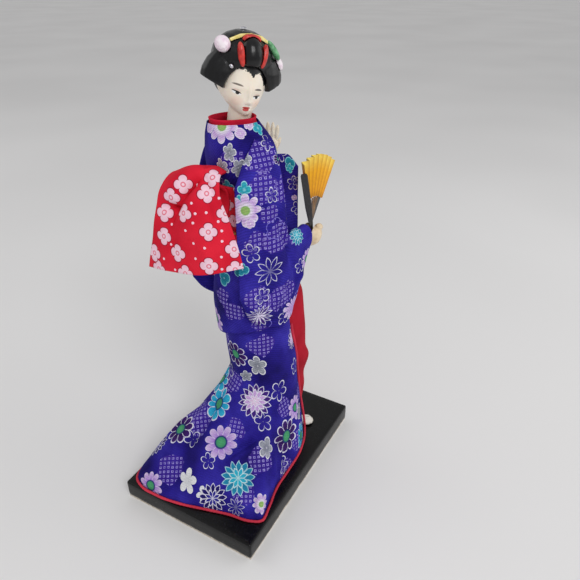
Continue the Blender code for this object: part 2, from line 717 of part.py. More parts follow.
def make_ornaments():
    """Band, ribbon, leaf, flowers and pin heads that are glued on the hair."""
    seat = as_mesh(hair_union("ornament_seat", grow=SEAT_GAP), cutter=True)
    items = (
        ("hair_flower_right", PINK, (4.2, -12.4, 17.0), (4.6, 3.6, 3.4), (-44, 0, 0)),
        ("hair_flower_left", PINK, (2.0, 16.6, 10.4), (3.2, 2.2, 3.4), (30, 0, 0)),
        ("hair_leaf", GREEN, (4.6, 12.2, 16.4), (2.2, 1.6, 5.2), (42, 0, 0)),
        ("hair_ribbon_arch", RED_PAINT, (6.8, 0.0, 20.4), (2.0, 4.6, 2.2), (0, 20, 0)),
        ("hair_ribbon_right", RED_PAINT, (9.8, -5.4, 14.4), (2.2, 1.7, 5.2), (10, -14, 0)),
        ("hair_ribbon_left", RED_PAINT, (9.8, 5.4, 14.4), (2.2, 1.7, 5.2), (-10, -14, 0)),
        ("hair_band", CREAM_YELLOW, (3.2, 0.0, 11.6), (1.5, 14.6, 11.4), (0, 12, 0)),
        ("hair_pin_crown", SILVER, (-2.6, -0.5, 23.0), (1.0, 1.6, 0.9), (0, 0, 0)),
        ("hair_pin_wing", SILVER, (9.6, -9.4, 9.2), (1.1, 1.0, 1.0), (0, 0, 0)),
    )
    taken = []
    for name, finish, centre, reach, tilt in items:
        piece = egg(name, centre, reach, tilt, finish=finish, cutter=False, detail=ORNAMENT_DETAIL)
        for room in [seat] + taken:
            cut(piece, room)
        if name == "hair_band":
            ends = Matrix.Translation((0, 0, BAND_LOW - HAIR_REACH))
            cut(piece, block("band_ends", (2 * HAIR_REACH,) * 3, (0, 0, 0), None, cutter=True,
                             turn=head_frame() @ ends))
        if name in ORNAMENT_NEIGHBOURS:
            taken.append(egg(name + "_room", centre, reach, tilt, SEAT_GAP,
                             detail=ORNAMENT_DETAIL))


def skirt_rows(inset=0.0, around=44):
    """Open rings of the outer skirt, from the board up, between its two front edges."""
    heights = np.array([0.6, 4, 9, 15, 22, 30, 38, 47, 60, 76, SKIRT_TOP])
    hem = loop_spline(HEM_OUTLINE, around, False)
    share = np.linspace(0, 1, around)
    weight = spline(SKIRT_FLARE, heights)[:, 0]
    x, y, turn = middle(heights)
    radius = np.interp(heights, (60, SKIRT_TOP), (KNEE_RADIUS, SKIRT_TOP_RADIUS)) - inset
    sweep = 360 + RIGHT_EDGE_ANGLE - LEFT_EDGE_ANGLE
    angles = np.radians(RIGHT_EDGE_ANGLE - sweep * share)
    along = np.gradient(hem, axis=0)
    inward = np.column_stack([along[:, 1], -along[:, 0]])
    inward /= np.linalg.norm(inward, axis=1)[:, None]
    rows = []
    for z, w, cx, cy, t, r in zip(heights, weight, x, y, turn, radius):
        ring = np.column_stack([cx + r * np.cos(angles + t), cy + r * np.sin(angles + t)])
        edge = hem + inward * inset
        flat = ring * (1 - w) + edge * w
        rows.append(np.column_stack([flat, np.full(around, z)]))
    return rows[::-1]


def make_skirts():
    """Printed outer skirt with its train, its red piping, and the red underskirt."""
    skirt = shell("kimono_skirt", skirt_rows(), ROBE, CLOTH, wrap=False)
    around = skirt_rows(-(PIPING_RADIUS + SEAT_GAP))
    right_edge = [row[0] for row in around if row[0][2] < 88]
    left_edge = [row[-1] for row in around if row[0][2] < 88]
    hem = list(around[-1][1:-1])
    path = np.array(right_edge[:-1] + hem + left_edge[:-1][::-1])
    path[:, 2] = np.maximum(path[:, 2], PIPING_RADIUS + SEAT_GAP)
    rod("hem_piping", path, PIPING_RADIUS, RED_CLOTH, 1)
    shell("underskirt", underskirt_rows(), RED_CLOTH, CLOTH)
    room = loft("underskirt_room", longer(underskirt_rows(LAYER_GAP)), None, True)
    cut(skirt, room)
    return room


def longer(rows):
    """Rings from the bottom up, with one more beyond each end."""
    reach = np.array((0, 0, LAYER_GAP))
    return [rows[0] - reach, *rows, rows[-1] + reach]


def underskirt_rows(grow=0.0):
    """Rings of the underskirt from the bottom up, with the fold that stands out in front."""
    heights = np.array([row[0] for row in UNDERSKIRT_SECTIONS], float)
    radius, fold = np.array([row[1:] for row in UNDERSKIRT_SECTIONS]).T
    x, y, _ = middle(heights)
    angles = turn_about(30)
    off = np.angle(np.exp(1j * (angles - math.radians(UNDERSKIRT_FOLD_ANGLE))))
    width = math.radians(UNDERSKIRT_FOLD_WIDTH) + grow * FOLD_FLANK
    bump = np.exp(-((off / width) ** 2))
    rows = [np.column_stack([cx + (r + f * bump + grow) * np.cos(angles),
                             cy + (r + f * bump + grow) * np.sin(angles), np.full(30, z)])
            for cx, cy, r, f, z in zip(x, y, radius, fold, heights)]
    return rows


def tunic_rows(inset=0.0, low=TUNIC_SECTIONS[0][0], high=TUNIC_SECTIONS[-1][0]):
    """Rings of the tunic between two of its heights, from the bottom up."""
    heights = [row[0] for row in TUNIC_SECTIONS if low <= row[0] <= high]
    return list(tunic_point(np.array(heights, float), turn_about(TUNIC_AROUND), inset))


def make_tunic(armholes, underskirt_room):
    """Printed upper garment, cut at the armholes, and the red collar inside its neck."""
    tunic = shell("kimono_bodice", tunic_rows(), ROBE, CLOTH)
    cut(tunic, underskirt_room)
    for hole in armholes.values():
        cut(tunic, hole)
    neck_edge = TUNIC_SECTIONS[-1][0]
    collar = []
    for below, inset in ((5.5, 0.5), (2.5, 0.2), (-0.5, 0.0), (-2.7, -0.4)):
        at = np.array([min(neck_edge - below, neck_edge)])
        ring = tunic_point(at, turn_about(TUNIC_AROUND), CLOTH + LAYER_GAP + inset)[0]
        ring[:, 2] = neck_edge - below
        collar.append(ring)
    shell("under_collar", collar, RED_CLOTH, CLOTH)


def sleeve_rows(stations, count, side, inset):
    """Upright loops of a flat hanging sleeve along its way round the body. Side is -1 on the
    figure's right and 1 on its left, and the top of each loop leans in over the shoulder."""
    length = np.concatenate([[0], np.cumsum(np.linalg.norm(np.diff(
        np.array([row[:2] for row in stations]), axis=0), axis=1))])
    along = np.linspace(0, length[-1], count)
    x, y, top, bottom, half, lean = spline(
        [(where, *row) for where, row in zip(length, stations)], along).T
    across = np.gradient(np.column_stack([x, y]), axis=0)
    across = np.column_stack([-across[:, 1], across[:, 0]]) * -side
    across /= np.linalg.norm(across, axis=1)[:, None]
    angles = turn_about(16)
    rows = []
    for i in range(count):
        up = np.sign(np.cos(angles)) * np.abs(np.cos(angles)) ** 0.8
        z = (top[i] + bottom[i]) / 2 + up * ((top[i] - bottom[i]) / 2 - inset)
        rise = np.clip((z - SHOULDER_LOW) / (SHOULDER_HIGH - SHOULDER_LOW), 0, 1)
        offset = (half[i] - inset) * np.sin(angles) + lean[i] * rise**1.5
        row = np.column_stack([x[i] + across[i, 0] * offset, y[i] + across[i, 1] * offset, z])
        away = (1 - np.sin(angles)) / 2
        rows.append(keep_off(row, SLEEVE_GAP + inset + (SLEEVE_LEAST - 2 * inset) * away))
    return rows


def keep_off(points, margin):
    """Points moved outwards where they would come nearer to the tunic and its sash than a
    margin."""
    drop = np.clip((TUNIC_TILT_TOP - points[:, 2]) / (TUNIC_TILT_TOP - TUNIC_SECTIONS[0][0]), 0, 1)
    z = points[:, 2] + TUNIC_HEM_TILT * points[:, 1] * drop
    x, y, turn = middle(z)
    away = points[:, :2] - np.column_stack([x, y])
    angles = np.arctan2(away[:, 1], away[:, 0]) - turn
    low, high = OBI_ROOM_ENDS
    sash = np.interp(z, (low - SASH_BLEND, low, high, high + SASH_BLEND),
                     (0, sash_reach(), sash_reach(), 0))
    reach = oval(*spline(TUNIC_SECTIONS, z).T, angles, TUNIC_POWER) + sash + margin
    grow = np.maximum(1.0, reach / np.hypot(*away.T))
    grow[z > TUNIC_SECTIONS[-1][0]] = 1.0
    moved = points.copy()
    moved[:, :2] += away * (grow - 1.0)[:, None]
    return moved


def make_sleeves(armholes, underskirt_room):
    """Two hanging sleeves, each a flattened bag open at its rear edge and at the wrist."""
    body = loft("tunic_room", longer(tunic_rows(-SEAT_GAP)), None, True)
    band = loft("sash_room", tunic_rows(-sash_reach(), *OBI_ROOM_ENDS), None, True)
    for name, stations, side in (("kimono_sleeve_right", RIGHT_SLEEVE, -1),
                                 ("kimono_sleeve_left", LEFT_SLEEVE, 1)):
        bag = bag_solid(name, sleeve_rows(stations, SLEEVE_LOOPS, side, 0.0),
                        sleeve_rows(stations, SLEEVE_LOOPS, side, CLOTH), ROBE)
        for room in (body, band, underskirt_room, armholes[name.split("_")[-1]]):
            cut(bag, room)
    cut(bag, as_mesh(rod("left_cuff", LEFT_CUFF, LEFT_CUFF_RADIUS, None, 3, True), cutter=True))


def sash_reach():
    """How far the sash with its cord stands out from the tunic, and the room round it."""
    return SEAT_GAP + OBI_THICKNESS + LAYER_GAP + 2 * OBI_CORD_RADIUS + SEAT_GAP


def make_sash():
    """Sash round the waist, its cord, and the bow behind: a loop and the tail over it."""
    reach = SEAT_GAP + OBI_THICKNESS
    band = tunic_rows(-reach, OBI_BOTTOM, OBI_TOP)
    shell("obi_band", band, OBI, OBI_THICKNESS)
    reach += LAYER_GAP + OBI_CORD_RADIUS
    ring = tunic_point(np.array([OBI_CORD_HEIGHT]), turn_about(TUNIC_AROUND), -reach)[0]
    rod("obi_cord", ring, OBI_CORD_RADIUS, GOLD_CORD, 1, closed=True)
    line = loop_spline(KNOT_LINE, 7, False)
    angles = turn_about(16)
    rows = []
    for p in line:
        rows.append(np.column_stack([p[0] + KNOT_HALF[0] * np.cos(angles),
                                     np.full(16, p[1]) + 1.5 * np.sin(angles),
                                     p[2] + KNOT_HALF[1] * np.sin(angles)
                                     * (1 + 0.1 * np.cos(3 * angles))]))
    shell("obi_knot", rows, OBI, KNOT_FOLD)
    across = [loop_spline(row, TAIL_ACROSS, False) for row in TAIL_ROWS]
    down = [loop_spline([row[i] for row in across], TAIL_DOWN, False) for i in range(TAIL_ACROSS)]
    rows = [np.array([column[j] for column in down]) for j in range(TAIL_DOWN)]
    shell("obi_tail", rows, OBI, KNOT_FOLD, wrap=False)


def make_arms(arm_wires):
    """Arm wires and the two moulded hands on their ends."""
    for side, points in arm_wires.items():
        rod("arm_wire_" + side, points, ARM_WIRE_RADIUS, STEEL, 2)
    make_fist(arm_wires["right"])
    make_open_hand(arm_wires["left"])


def pebble(name, centre, reach, turn, cutter=False, finish=None, detail=(12, 8)):
    """Ellipsoid above the board, with its half sizes and its turning matrix."""
    bm = bmesh.new()
    bmesh.ops.create_uvsphere(bm, u_segments=detail[0], v_segments=detail[1], radius=1.0)
    bmesh.ops.scale(bm, vec=reach, verts=bm.verts)
    bmesh.ops.transform(bm, matrix=Matrix.Translation(centre) @ turn, verts=bm.verts)
    return from_bmesh(name, bm, finish, cutter)


def make_fist(wire):
    """Right hand: a closed mitten round the lower ends of the fan's sticks."""
    straight = Matrix.Identity(4)
    hand = pebble("hand_right", RIGHT_PALM, (6.6, 6.2, 7.0), straight, finish=PORCELAIN)
    wrist = as_mesh(rod("wrist_right", (wire[-1] + np.array((-3.0, 0, 0.6)), RIGHT_PALM),
                        WRIST_RADIUS, None, 3, True), cutter=True)
    cut(hand, wrist, "UNION")
    thumb = pebble("thumb_right", np.add(RIGHT_PALM, (1.5, -4.2, 4.6)), (3.8, 1.8, 1.9),
                   Matrix.Rotation(math.radians(28), 4, "Y"), True)
    cut(hand, thumb, "UNION")
    corners = fan_place(np.array((0.0, FAN_REAR_ANGLE, FAN_FRONT_ANGLE)),
                        np.array((0.0, FAN_RADIUS, FAN_RADIUS)), 0.0)
    low = FAN_PIVOT[2] - GUARD_WIDTH
    outline = ((corners[0][0] - GUARD_WIDTH, low), (corners[0][0] + GUARD_WIDTH, low),
               (corners[2][0] + GUARD_WIDTH, corners[2][2]), (corners[1][0] - GUARD_WIDTH,
                                                              corners[1][2]))
    half = fan_depth() / 2 + RIVET_HEAD + SEAT_GAP
    slot = [[(x, FAN_PIVOT[1] + side * half, z) for x, z in outline] for side in (-1, 1)]
    cut(hand, loft("fist_slot", slot, None, True))
    cut(hand, wire_cutter("fist_wire_hole", wire[-WRIST_POINTS:], ARM_WIRE_RADIUS))


def make_open_hand(wire):
    """Left hand: a flat palm with its four fingers and thumb up."""
    frame = Matrix(((0.4863, 0.8738, 0.0, 0.0), (-0.8738, 0.4863, 0.0, 0.0),
                    (0.0, 0.0, 1.0, 0.0), (0.0, 0.0, 0.0, 1.0)))
    hand = pebble("hand_left", LEFT_PALM, (4.0, 1.9, 5.4), frame, finish=PORCELAIN)
    wrist = as_mesh(rod("wrist_left", (wire[-1] + np.array((0.3, 0.6, -4.0)), LEFT_PALM),
                        WRIST_RADIUS, None, 3, True), cutter=True)
    cut(hand, wrist, "UNION")
    for i, (aside, length) in enumerate(((-2.9, 6.4), (-1.0, 7.8), (1.0, 7.6), (2.9, 6.2))):
        centre = Vector(LEFT_PALM) + frame.to_3x3() @ Vector((aside, 0.0, 4.2))
        tip = frame @ Matrix.Rotation(math.radians(aside * 2.6), 4, "Y")
        middle_of = centre + tip.to_3x3() @ Vector((0, 0, length / 2))
        finger = pebble(f"finger_left_{i}", middle_of, (1.2, 1.15, length / 2 + 1.0), tip, True,
                        detail=(9, 7))
        cut(hand, finger, "UNION")
    thumb_at = Vector(LEFT_PALM) + frame.to_3x3() @ Vector((3.9, 1.2, 1.5))
    thumb = pebble("thumb_left", thumb_at, (1.2, 1.2, 3.4),
                   frame @ Matrix.Rotation(math.radians(24), 4, "Y"), True, detail=(9, 7))
    cut(hand, thumb, "UNION")
    cut(hand, wire_cutter("open_hand_wire_hole", wire[-WRIST_POINTS:], ARM_WIRE_RADIUS))


def fan_depth():
    """Depth of the stack of guards and ribs at the rivet."""
    return 2 * GUARD_THICKNESS + RIB_COUNT * RIB_THICKNESS + (RIB_COUNT + 1) * RIB_SPACING


def fan_place(angle, radius, depth):
    """Points of the fan from the angle from upright, distance from the rivet and depth."""
    a = np.radians(angle)
    flat = np.stack([radius * np.sin(a), depth + 0 * a, radius * np.cos(a)], -1)
    turn = math.radians(FAN_TURN)
    x, y = flat[..., 0], flat[..., 1]
    turned = np.stack([x * math.cos(turn) - y * math.sin(turn),
                       x * math.sin(turn) + y * math.cos(turn), flat[..., 2]], -1)
    return turned + np.array(FAN_PIVOT)


def fan_stick(name, angle, depth, width, thickness, length, finish):
    """Flat stick of the fan, a little wider at its free end, with a hole for the rivet."""
    bm = bmesh.new()
    rows = []
    for radius, half in ((-3.2, 0.75), (0.0, 0.8), (length * 0.45, width * 0.42),
                         (length, width / 2)):
        across = np.array((-half, half, half, -half))
        deep = depth + np.array((0, 0, thickness, thickness))
        a = math.radians(angle)
        flat = np.column_stack([radius * math.sin(a) + across * math.cos(a), deep,
                                radius * math.cos(a) - across * math.sin(a)])
        turn = math.radians(FAN_TURN)
        rows.append(np.column_stack([
            flat[:, 0] * math.cos(turn) - flat[:, 1] * math.sin(turn),
            flat[:, 0] * math.sin(turn) + flat[:, 1] * math.cos(turn), flat[:, 2]])
            + np.array(FAN_PIVOT))
    grid_faces(bm, rows, True, cap_start=True, cap_end=True)
    stick = from_bmesh(name, bm, finish)
    cut(stick, rivet_solid(name + "_rivet_hole", RIVET_RADIUS + 0.2, 2.0, True))


def rivet_solid(name, radius, extra, cutter=False):
    """Round pin through all the sticks."""
    turn = math.radians(FAN_TURN)
    reach = fan_depth() / 2 + extra
    way = np.array((-math.sin(turn), math.cos(turn), 0.0))
    ends = (np.array(FAN_PIVOT) - way * reach, np.array(FAN_PIVOT) + way * reach)
    pin = rod(name, ends, radius, None if cutter else BRASS, 2, cutter)
    return as_mesh(pin, cutter=True) if cutter else pin


def make_fan():
    """Half-open fan: pleated leaf, two black guards, thin ribs and a rivet."""
    steps = np.linspace(FAN_REAR_ANGLE + 1.5, FAN_FRONT_ANGLE - 1.5, FAN_FOLDS + 1)
    side = np.where(np.arange(FAN_FOLDS + 1) % 2 == 0, -0.5, 0.5) * FAN_FOLD_HEIGHT
    inner = FAN_RADIUS - FAN_LEAF_DEPTH
    rows = [fan_place(steps, np.full_like(steps, r), side * (0.55 + 0.45 * (r - inner)
                                                             / FAN_LEAF_DEPTH))
            for r in (FAN_RADIUS, FAN_RADIUS - FAN_LEAF_DEPTH / 2, inner)]
    bm = bmesh.new()
    grid_faces(bm, rows, False)
    leaf = from_bmesh("fan_leaf", bm, YELLOW_PAPER, outward=False)
    thick = leaf.modifiers.new("paper", "SOLIDIFY")
    thick.thickness = FAN_LEAF_THICKNESS * MM
    thick.offset = 0.0
    front = -fan_depth() / 2
    fan_stick("fan_guard_rear", FAN_REAR_ANGLE, front, GUARD_WIDTH, GUARD_THICKNESS,
              FAN_GUARD_LENGTH, FAN_BLACK)
    fan_stick("fan_guard_front", FAN_FRONT_ANGLE, -front - GUARD_THICKNESS, GUARD_WIDTH,
              GUARD_THICKNESS, FAN_GUARD_LENGTH, FAN_BLACK)
    between = np.linspace(FAN_REAR_ANGLE, FAN_FRONT_ANGLE, RIB_COUNT + 2)[1:-1]
    for i, angle in enumerate(between):
        depth = front + GUARD_THICKNESS + RIB_SPACING + i * (RIB_THICKNESS + RIB_SPACING)
        fan_stick(f"fan_rib_{i + 1}", angle, depth, RIB_WIDTH, RIB_THICKNESS,
                  FAN_RADIUS - FAN_LEAF_DEPTH - SEAT_GAP, RIB_WOOD)
    rivet_solid("fan_rivet", RIVET_RADIUS, RIVET_HEAD)


def main():
    """Builds the doll from the board up."""
    clear_scene()
    leg_wires = {"right": leg_line(RIGHT_FOOT), "left": leg_line(LEFT_FOOT)}
    arm_wires = {"right": loop_spline(RIGHT_ARM, ARM_POINTS, False),
                 "left": loop_spline(LEFT_ARM, ARM_POINTS, False)}
    make_board(leg_wires)
    for side, points in leg_wires.items():
        rod("leg_wire_" + side, points, LEG_WIRE_RADIUS, STEEL)
    make_foot("foot_right", RIGHT_FOOT, leg_wires["right"], 1)
    make_foot("foot_left", LEFT_FOOT, leg_wires["left"], -1)
    make_core(leg_wires, arm_wires)
    make_head()
    make_hair()
    make_ornaments()
    underskirt_room = make_skirts()
    armholes = {side: wire_cutter("armhole_" + side, points[:int(ARM_POINTS * UPPER_ARM_SHARE)],
                                  ARMHOLE_RADIUS) for side, points in arm_wires.items()}
    make_tunic(armholes, underskirt_room)
    make_sash()
    make_sleeves(armholes, underskirt_room)
    make_arms(arm_wires)
    make_fan()


main()
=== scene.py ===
"""Looks of a geisha figurine: a cloth-dressed doll with a fan on a lacquered board.

Every piece is a surface worked out on a grid of two parameters, in millimetres above the board,
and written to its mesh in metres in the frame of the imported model. The robe's print is drawn
from small shapes that are placed on the cloth by how far round and how far up they lie.
"""

import logging
import math
from dataclasses import dataclass
from enum import Enum
from typing import Callable, Optional, Sequence

import bpy
import bmesh
import numpy as np
from mathutils import Matrix, Vector

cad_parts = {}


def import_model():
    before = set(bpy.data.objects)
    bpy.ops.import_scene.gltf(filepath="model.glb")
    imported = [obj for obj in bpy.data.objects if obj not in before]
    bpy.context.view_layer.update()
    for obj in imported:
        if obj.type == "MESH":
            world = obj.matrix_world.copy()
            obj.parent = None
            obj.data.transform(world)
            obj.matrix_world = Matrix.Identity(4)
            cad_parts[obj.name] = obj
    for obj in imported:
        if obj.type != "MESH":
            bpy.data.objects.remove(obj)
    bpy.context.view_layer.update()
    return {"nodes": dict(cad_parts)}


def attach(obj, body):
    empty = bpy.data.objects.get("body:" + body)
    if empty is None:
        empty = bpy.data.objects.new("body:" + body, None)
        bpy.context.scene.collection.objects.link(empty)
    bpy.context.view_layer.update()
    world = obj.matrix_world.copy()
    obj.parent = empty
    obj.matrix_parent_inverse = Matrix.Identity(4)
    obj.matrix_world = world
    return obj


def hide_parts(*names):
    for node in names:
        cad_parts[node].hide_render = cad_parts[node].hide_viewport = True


LOG = logging.getLogger("figurine")
MM = 0.001
BOARD_TOP = 12.6
BODY = "root"
CAMERA_PLACE = (-0.2162, -0.1545, 0.2830)
CAMERA_HEADING = (0.8738, 0.4863)
CAMERA_DIP = 30.3
LENS = 33.95
SENSOR_WIDTH = 36.0
NEAREST_SEEN = 0.01
CLOTH = 0.7
ROBE_WALL = CLOTH * 0.8
PIPING_RADIUS = 0.55
SEAT_GAP = 0.3
LEAST_CUT = 10.5
LEAST_AREA = 0.3
DOT_PITCH = 2.5
LEAST_DEPTH = 4.5
UPRIGHT = 0.8
FOLD_ENDS = 0.25
RIPPLE_WAVES = 9
PRINT_REACH = 1.2
PRINT_DEPTH = 0.6
WHITE = (1, 1, 1, 1)

Array = np.ndarray


# Numbers and surfaces

def hex_colour(code: str, alpha: float = 1.0) -> tuple[float, float, float, float]:
    """Linear colour of an sRGB hex code: (c / 12.92) when dark, else ((c + .055) / 1.055)^2.4.

    Args:
        code: six hex digits, with or without a leading #.
        alpha: coverage that goes with the colour.

    Returns:
        Red, green, blue and alpha.
    """
    digits = code.lstrip("#")
    parts = [int(digits[i:i + 2], 16) / 255 for i in (0, 2, 4)]
    linear = [c / 12.92 if c <= 0.04045 else ((c + 0.055) / 1.055) ** 2.4 for c in parts]
    return (linear[0], linear[1], linear[2], alpha)


def spline(stations: Sequence[Sequence[float]], at: Array) -> Array:
    """Cubic through rows of (position, value, ...): Hermite curve with the mean slope at rows.

    Args:
        stations: rows, each a position and the values there.
        at: positions wanted.

    Returns:
        One row of values for each position.
    """
    rows = np.array(stations, float)
    where = np.clip(np.atleast_1d(at).astype(float), rows[0, 0], rows[-1, 0])
    step = np.diff(rows[:, 0])[:, None]
    rise = np.diff(rows[:, 1:], axis=0) / step
    slope = np.vstack([rise[:1], (rise[1:] + rise[:-1]) / 2, rise[-1:]])
    flat = np.vstack([np.zeros_like(rise[:1], bool), rise[1:] * rise[:-1] <= 0,
                      np.zeros_like(rise[:1], bool)])
    slope[flat] = 0.0
    i = np.clip(np.searchsorted(rows[:, 0], where, side="right") - 1, 0, len(rows) - 2)
    h = step[i]
    t = (where - rows[i, 0])[:, None] / h
    a, b = rows[i, 1:], rows[i + 1, 1:]
    return (a * (2 * t**3 - 3 * t**2 + 1) + b * (3 * t**2 - 2 * t**3)
            + slope[i] * h * (t**3 - 2 * t**2 + t) + slope[i + 1] * h * (t**3 - t**2))


def line_through(points: Sequence[Sequence[float]], count: int) -> Array:
    """Evenly shared points on a smooth line, by its length, through the given ones."""
    given = np.array(points, float)
    along = np.concatenate([[0], np.cumsum(np.linalg.norm(np.diff(given, axis=0), axis=1))])
    return spline(np.column_stack([along, given]), np.linspace(0, along[-1], count))


def full_turn(count: int) -> Array:
    """Angles shared evenly round a circle."""
    return np.linspace(0, 2 * math.pi, count, endpoint=False)


def squared(angles: Array, power: float) -> tuple[Array, Array]:
    """Cosine and sine raised to a power with their signs kept, for a circle with flat sides."""
    return tuple(np.sign(f(angles)) * np.abs(f(angles)) ** power for f in (np.cos, np.sin))


def edge_lengths(grid: Array, axis: int) -> Array:
    """Distances from each point of a grid to the next one along an axis."""
    return np.linalg.norm(np.diff(grid, axis=axis), axis=2)


def oval(front: Array, back: Array, right: Array, left: Array, angles: Array,
         power: float = 2.2) -> Array:
    """Reach of an egg-shaped section: (|cos a / ahead|^p + |sin a / aside|^p)^(-1/p)."""
    ahead = np.where(np.cos(angles) > 0, front, back)
    aside = np.where(np.sin(angles) > 0, left, right)
    return (np.abs(np.cos(angles) / ahead) ** power
            + np.abs(np.sin(angles) / aside) ** power) ** (-1 / power)


def bump(x: Array, centre: float, width: float) -> Array:
    """Bell of height 1: exp(-((x - centre) / width)^2)."""
    return np.exp(-(((x - centre) / width) ** 2))


def normals_of(grid: Array, wrap: bool) -> Array:
    """Unit normals of a grid: the cross product of its steps along rows and along columns.

    Args:
        grid: points as rows, columns, xyz.
        wrap: whether each row closes on itself.

    Returns:
        One unit vector for each point, to the left of the way along rows.
    """
    if wrap:
        around = np.roll(grid, -1, axis=1) - np.roll(grid, 1, axis=1)
    else:
        around = np.gradient(grid, axis=1)
    up = np.gradient(grid, axis=0)
    normal = np.cross(around, up)
    return normal / np.maximum(np.linalg.norm(normal, axis=2, keepdims=True), 1e-9)


def soften(grid: Array, wrap: bool, times: int) -> Array:
    """Grid after some rounds of averaging each inner point with its neighbours."""
    out = grid.copy()
    for _ in range(times):
        if wrap:
            side = (np.roll(out, 1, axis=1) + np.roll(out, -1, axis=1)) / 2
        else:
            side = out.copy()
            side[:, 1:-1] = (out[:, 2:] + out[:, :-2]) / 2
        rows = out.copy()
        rows[1:-1] = (out[2:] + out[:-2]) / 2
        mixed = out * 0.4 + side * 0.3 + rows * 0.3
        mixed[0], mixed[-1] = out[0], out[-1]
        out = mixed
    return out


def in_scene(name: str, data: bpy.types.ID) -> bpy.types.Object:
    """New object in the scene for a mesh, a light or a camera."""
    obj = bpy.data.objects.new(name, data)
    bpy.context.scene.collection.objects.link(obj)
    return obj


def shade_smooth(mesh: bpy.types.Mesh, smooth: bool = True) -> None:
    """Smooth or flat shading of every face."""
    mesh.polygons.foreach_set("use_smooth", [smooth] * len(mesh.polygons))


def new_object(name: str, mesh: bpy.types.Mesh, slot: str) -> bpy.types.Object:
    """Object for a finished mesh, riding on the figure."""
    obj = in_scene(name, mesh)
    shade_smooth(mesh)
    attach(obj, BODY)
    return obj


def sheet_mesh(name: str, grid: Array, wrap: bool, flip: bool = False,
               caps: bool = False) -> bpy.types.Mesh:
    """Mesh of a grid of points above the board, with a UV map of lengths along the cloth.

    Args:
        name: name of the mesh.
        grid: points in millimetres as rows, columns, xyz.
        wrap: whether each row closes on itself.
        flip: whether the faces turn the other way round.
        caps: whether both end rows are closed.

    Returns:
        The mesh, in metres.
    """
    rows, columns = grid.shape[:2]
    points = (grid + (0, 0, BOARD_TOP)).reshape(-1, 3) * MM
    i, j = np.meshgrid(np.arange(rows - 1), np.arange(columns - (0 if wrap else 1)),
                       indexing="ij")
    corner = np.stack([np.stack([i + down, j + over], -1)
                       for down, over in ((0, 0), (0, 1), (1, 1), (1, 0))], -2).reshape(-1, 4, 2)
    if flip:
        corner = corner[:, ::-1]
    polygons = (corner[..., 0] * columns + corner[..., 1] % columns).tolist()
    if caps:
        first, last = list(range(columns)), list(range((rows - 1) * columns, rows * columns))
        polygons += [first, last[::-1]] if flip else [first[::-1], last]
    mesh = bpy.data.meshes.new(name)
    mesh.from_pydata(points.tolist(), [], polygons)
    closed = np.concatenate([grid, grid[:, :1]], axis=1) if wrap else grid
    lengths = np.zeros(closed.shape[:2] + (2,))
    lengths[:, 1:, 0] = np.cumsum(edge_lengths(closed, 1), axis=1)
    lengths[1:, :, 1] = np.cumsum(edge_lengths(closed, 0), axis=0)
    lengths[..., 0] -= lengths[:, [closed.shape[1] // 2], 0]
    uv = np.zeros((len(mesh.loops), 2))
    corner = corner.reshape(-1, 2)
    uv[:len(corner)] = lengths[corner[:, 0], corner[:, 1]] * MM
    mesh.uv_layers.new(name="cloth").data.foreach_set("uv", uv.ravel())
    mesh.update()
    return mesh


def tube_mesh(name: str, path: Array, radius: Array, around: int = 12,
              closed: bool = False) -> bpy.types.Mesh:
    """Round tube along a path: each ring is centre + r (cos a · side + sin a · up).

    Args:
        name: name of the mesh.
        path: centre points in millimetres above the board.
        radius: radius at each point.
        around: points in a ring.
        closed: whether the path returns to its start.

    Returns:
        The mesh, in metres.
    """
    if closed:
        along = np.roll(path, -1, axis=0) - np.roll(path, 1, axis=0)
    else:
        along = np.gradient(path, axis=0)
    along /= np.linalg.norm(along, axis=1, keepdims=True)
    reference = np.tile(np.array((0.13, 0.21, 0.97)), (len(path), 1))
    steep = np.abs((along * reference).sum(1)) > 0.9
    reference[steep] = (0.9, 0.4, 0.1)
    side = np.cross(along, reference)
    side /= np.linalg.norm(side, axis=1, keepdims=True)
    up = np.cross(side, along)
    a = full_turn(around)
    radius = np.broadcast_to(radius, (len(path),))
    grid = (path[:, None] + radius[:, None, None] * (np.cos(a)[None, :, None] * side[:, None]
                                                     + np.sin(a)[None, :, None] * up[:, None]))
    if closed:
        grid = np.concatenate([grid, grid[:1]])
    mesh = sheet_mesh(name, grid, True, caps=not closed)
    tidy_mesh(mesh)
    return mesh


def tidy_mesh(mesh: bpy.types.Mesh) -> None:
    """Merges doubled points and turns every face outwards."""
    bm = bmesh.new()
    bm.from_mesh(mesh)
    bmesh.ops.remove_doubles(bm, verts=bm.verts, dist=1e-6)
    bmesh.ops.recalc_face_normals(bm, faces=bm.faces)
    bm.to_mesh(mesh)
    bm.free()


def thicken(obj: bpy.types.Object, thickness: float, offset: float = -1.0) -> None:
    """Wall of a cloth piece in millimetres, which grows inwards at -1 and outwards at 1."""
    wall = obj.modifiers.new("wall", "SOLIDIFY")
    wall.thickness = thickness * MM
    wall.offset = offset
    wall.use_even_offset = False


def crisp_edges(obj: bpy.types.Object, degrees: float) -> None:
    """Splits the shading where faces meet at more than an angle."""
    obj.modifiers.new("crisp", "EDGE_SPLIT").split_angle = math.radians(degrees)


def settle(obj: bpy.types.Object) -> None:
    """Makes the result of a piece's modifiers its own smooth mesh."""
    graph = bpy.context.evaluated_depsgraph_get()
    mesh = bpy.data.meshes.new_from_object(obj.evaluated_get(graph))
    obj.modifiers.clear()
    obj.data = mesh
    shade_smooth(mesh)


def trim(obj: bpy.types.Object, cutter: bpy.types.Mesh) -> None:
    """Cuts the inside of a closed mesh out of a piece."""
    tool = in_scene("cutter", cutter)
    away = obj.modifiers.new("away", "BOOLEAN")
    away.operation = "DIFFERENCE"
    away.solver = "EXACT"
    away.object = tool
    settle(obj)
    bpy.data.objects.remove(tool)


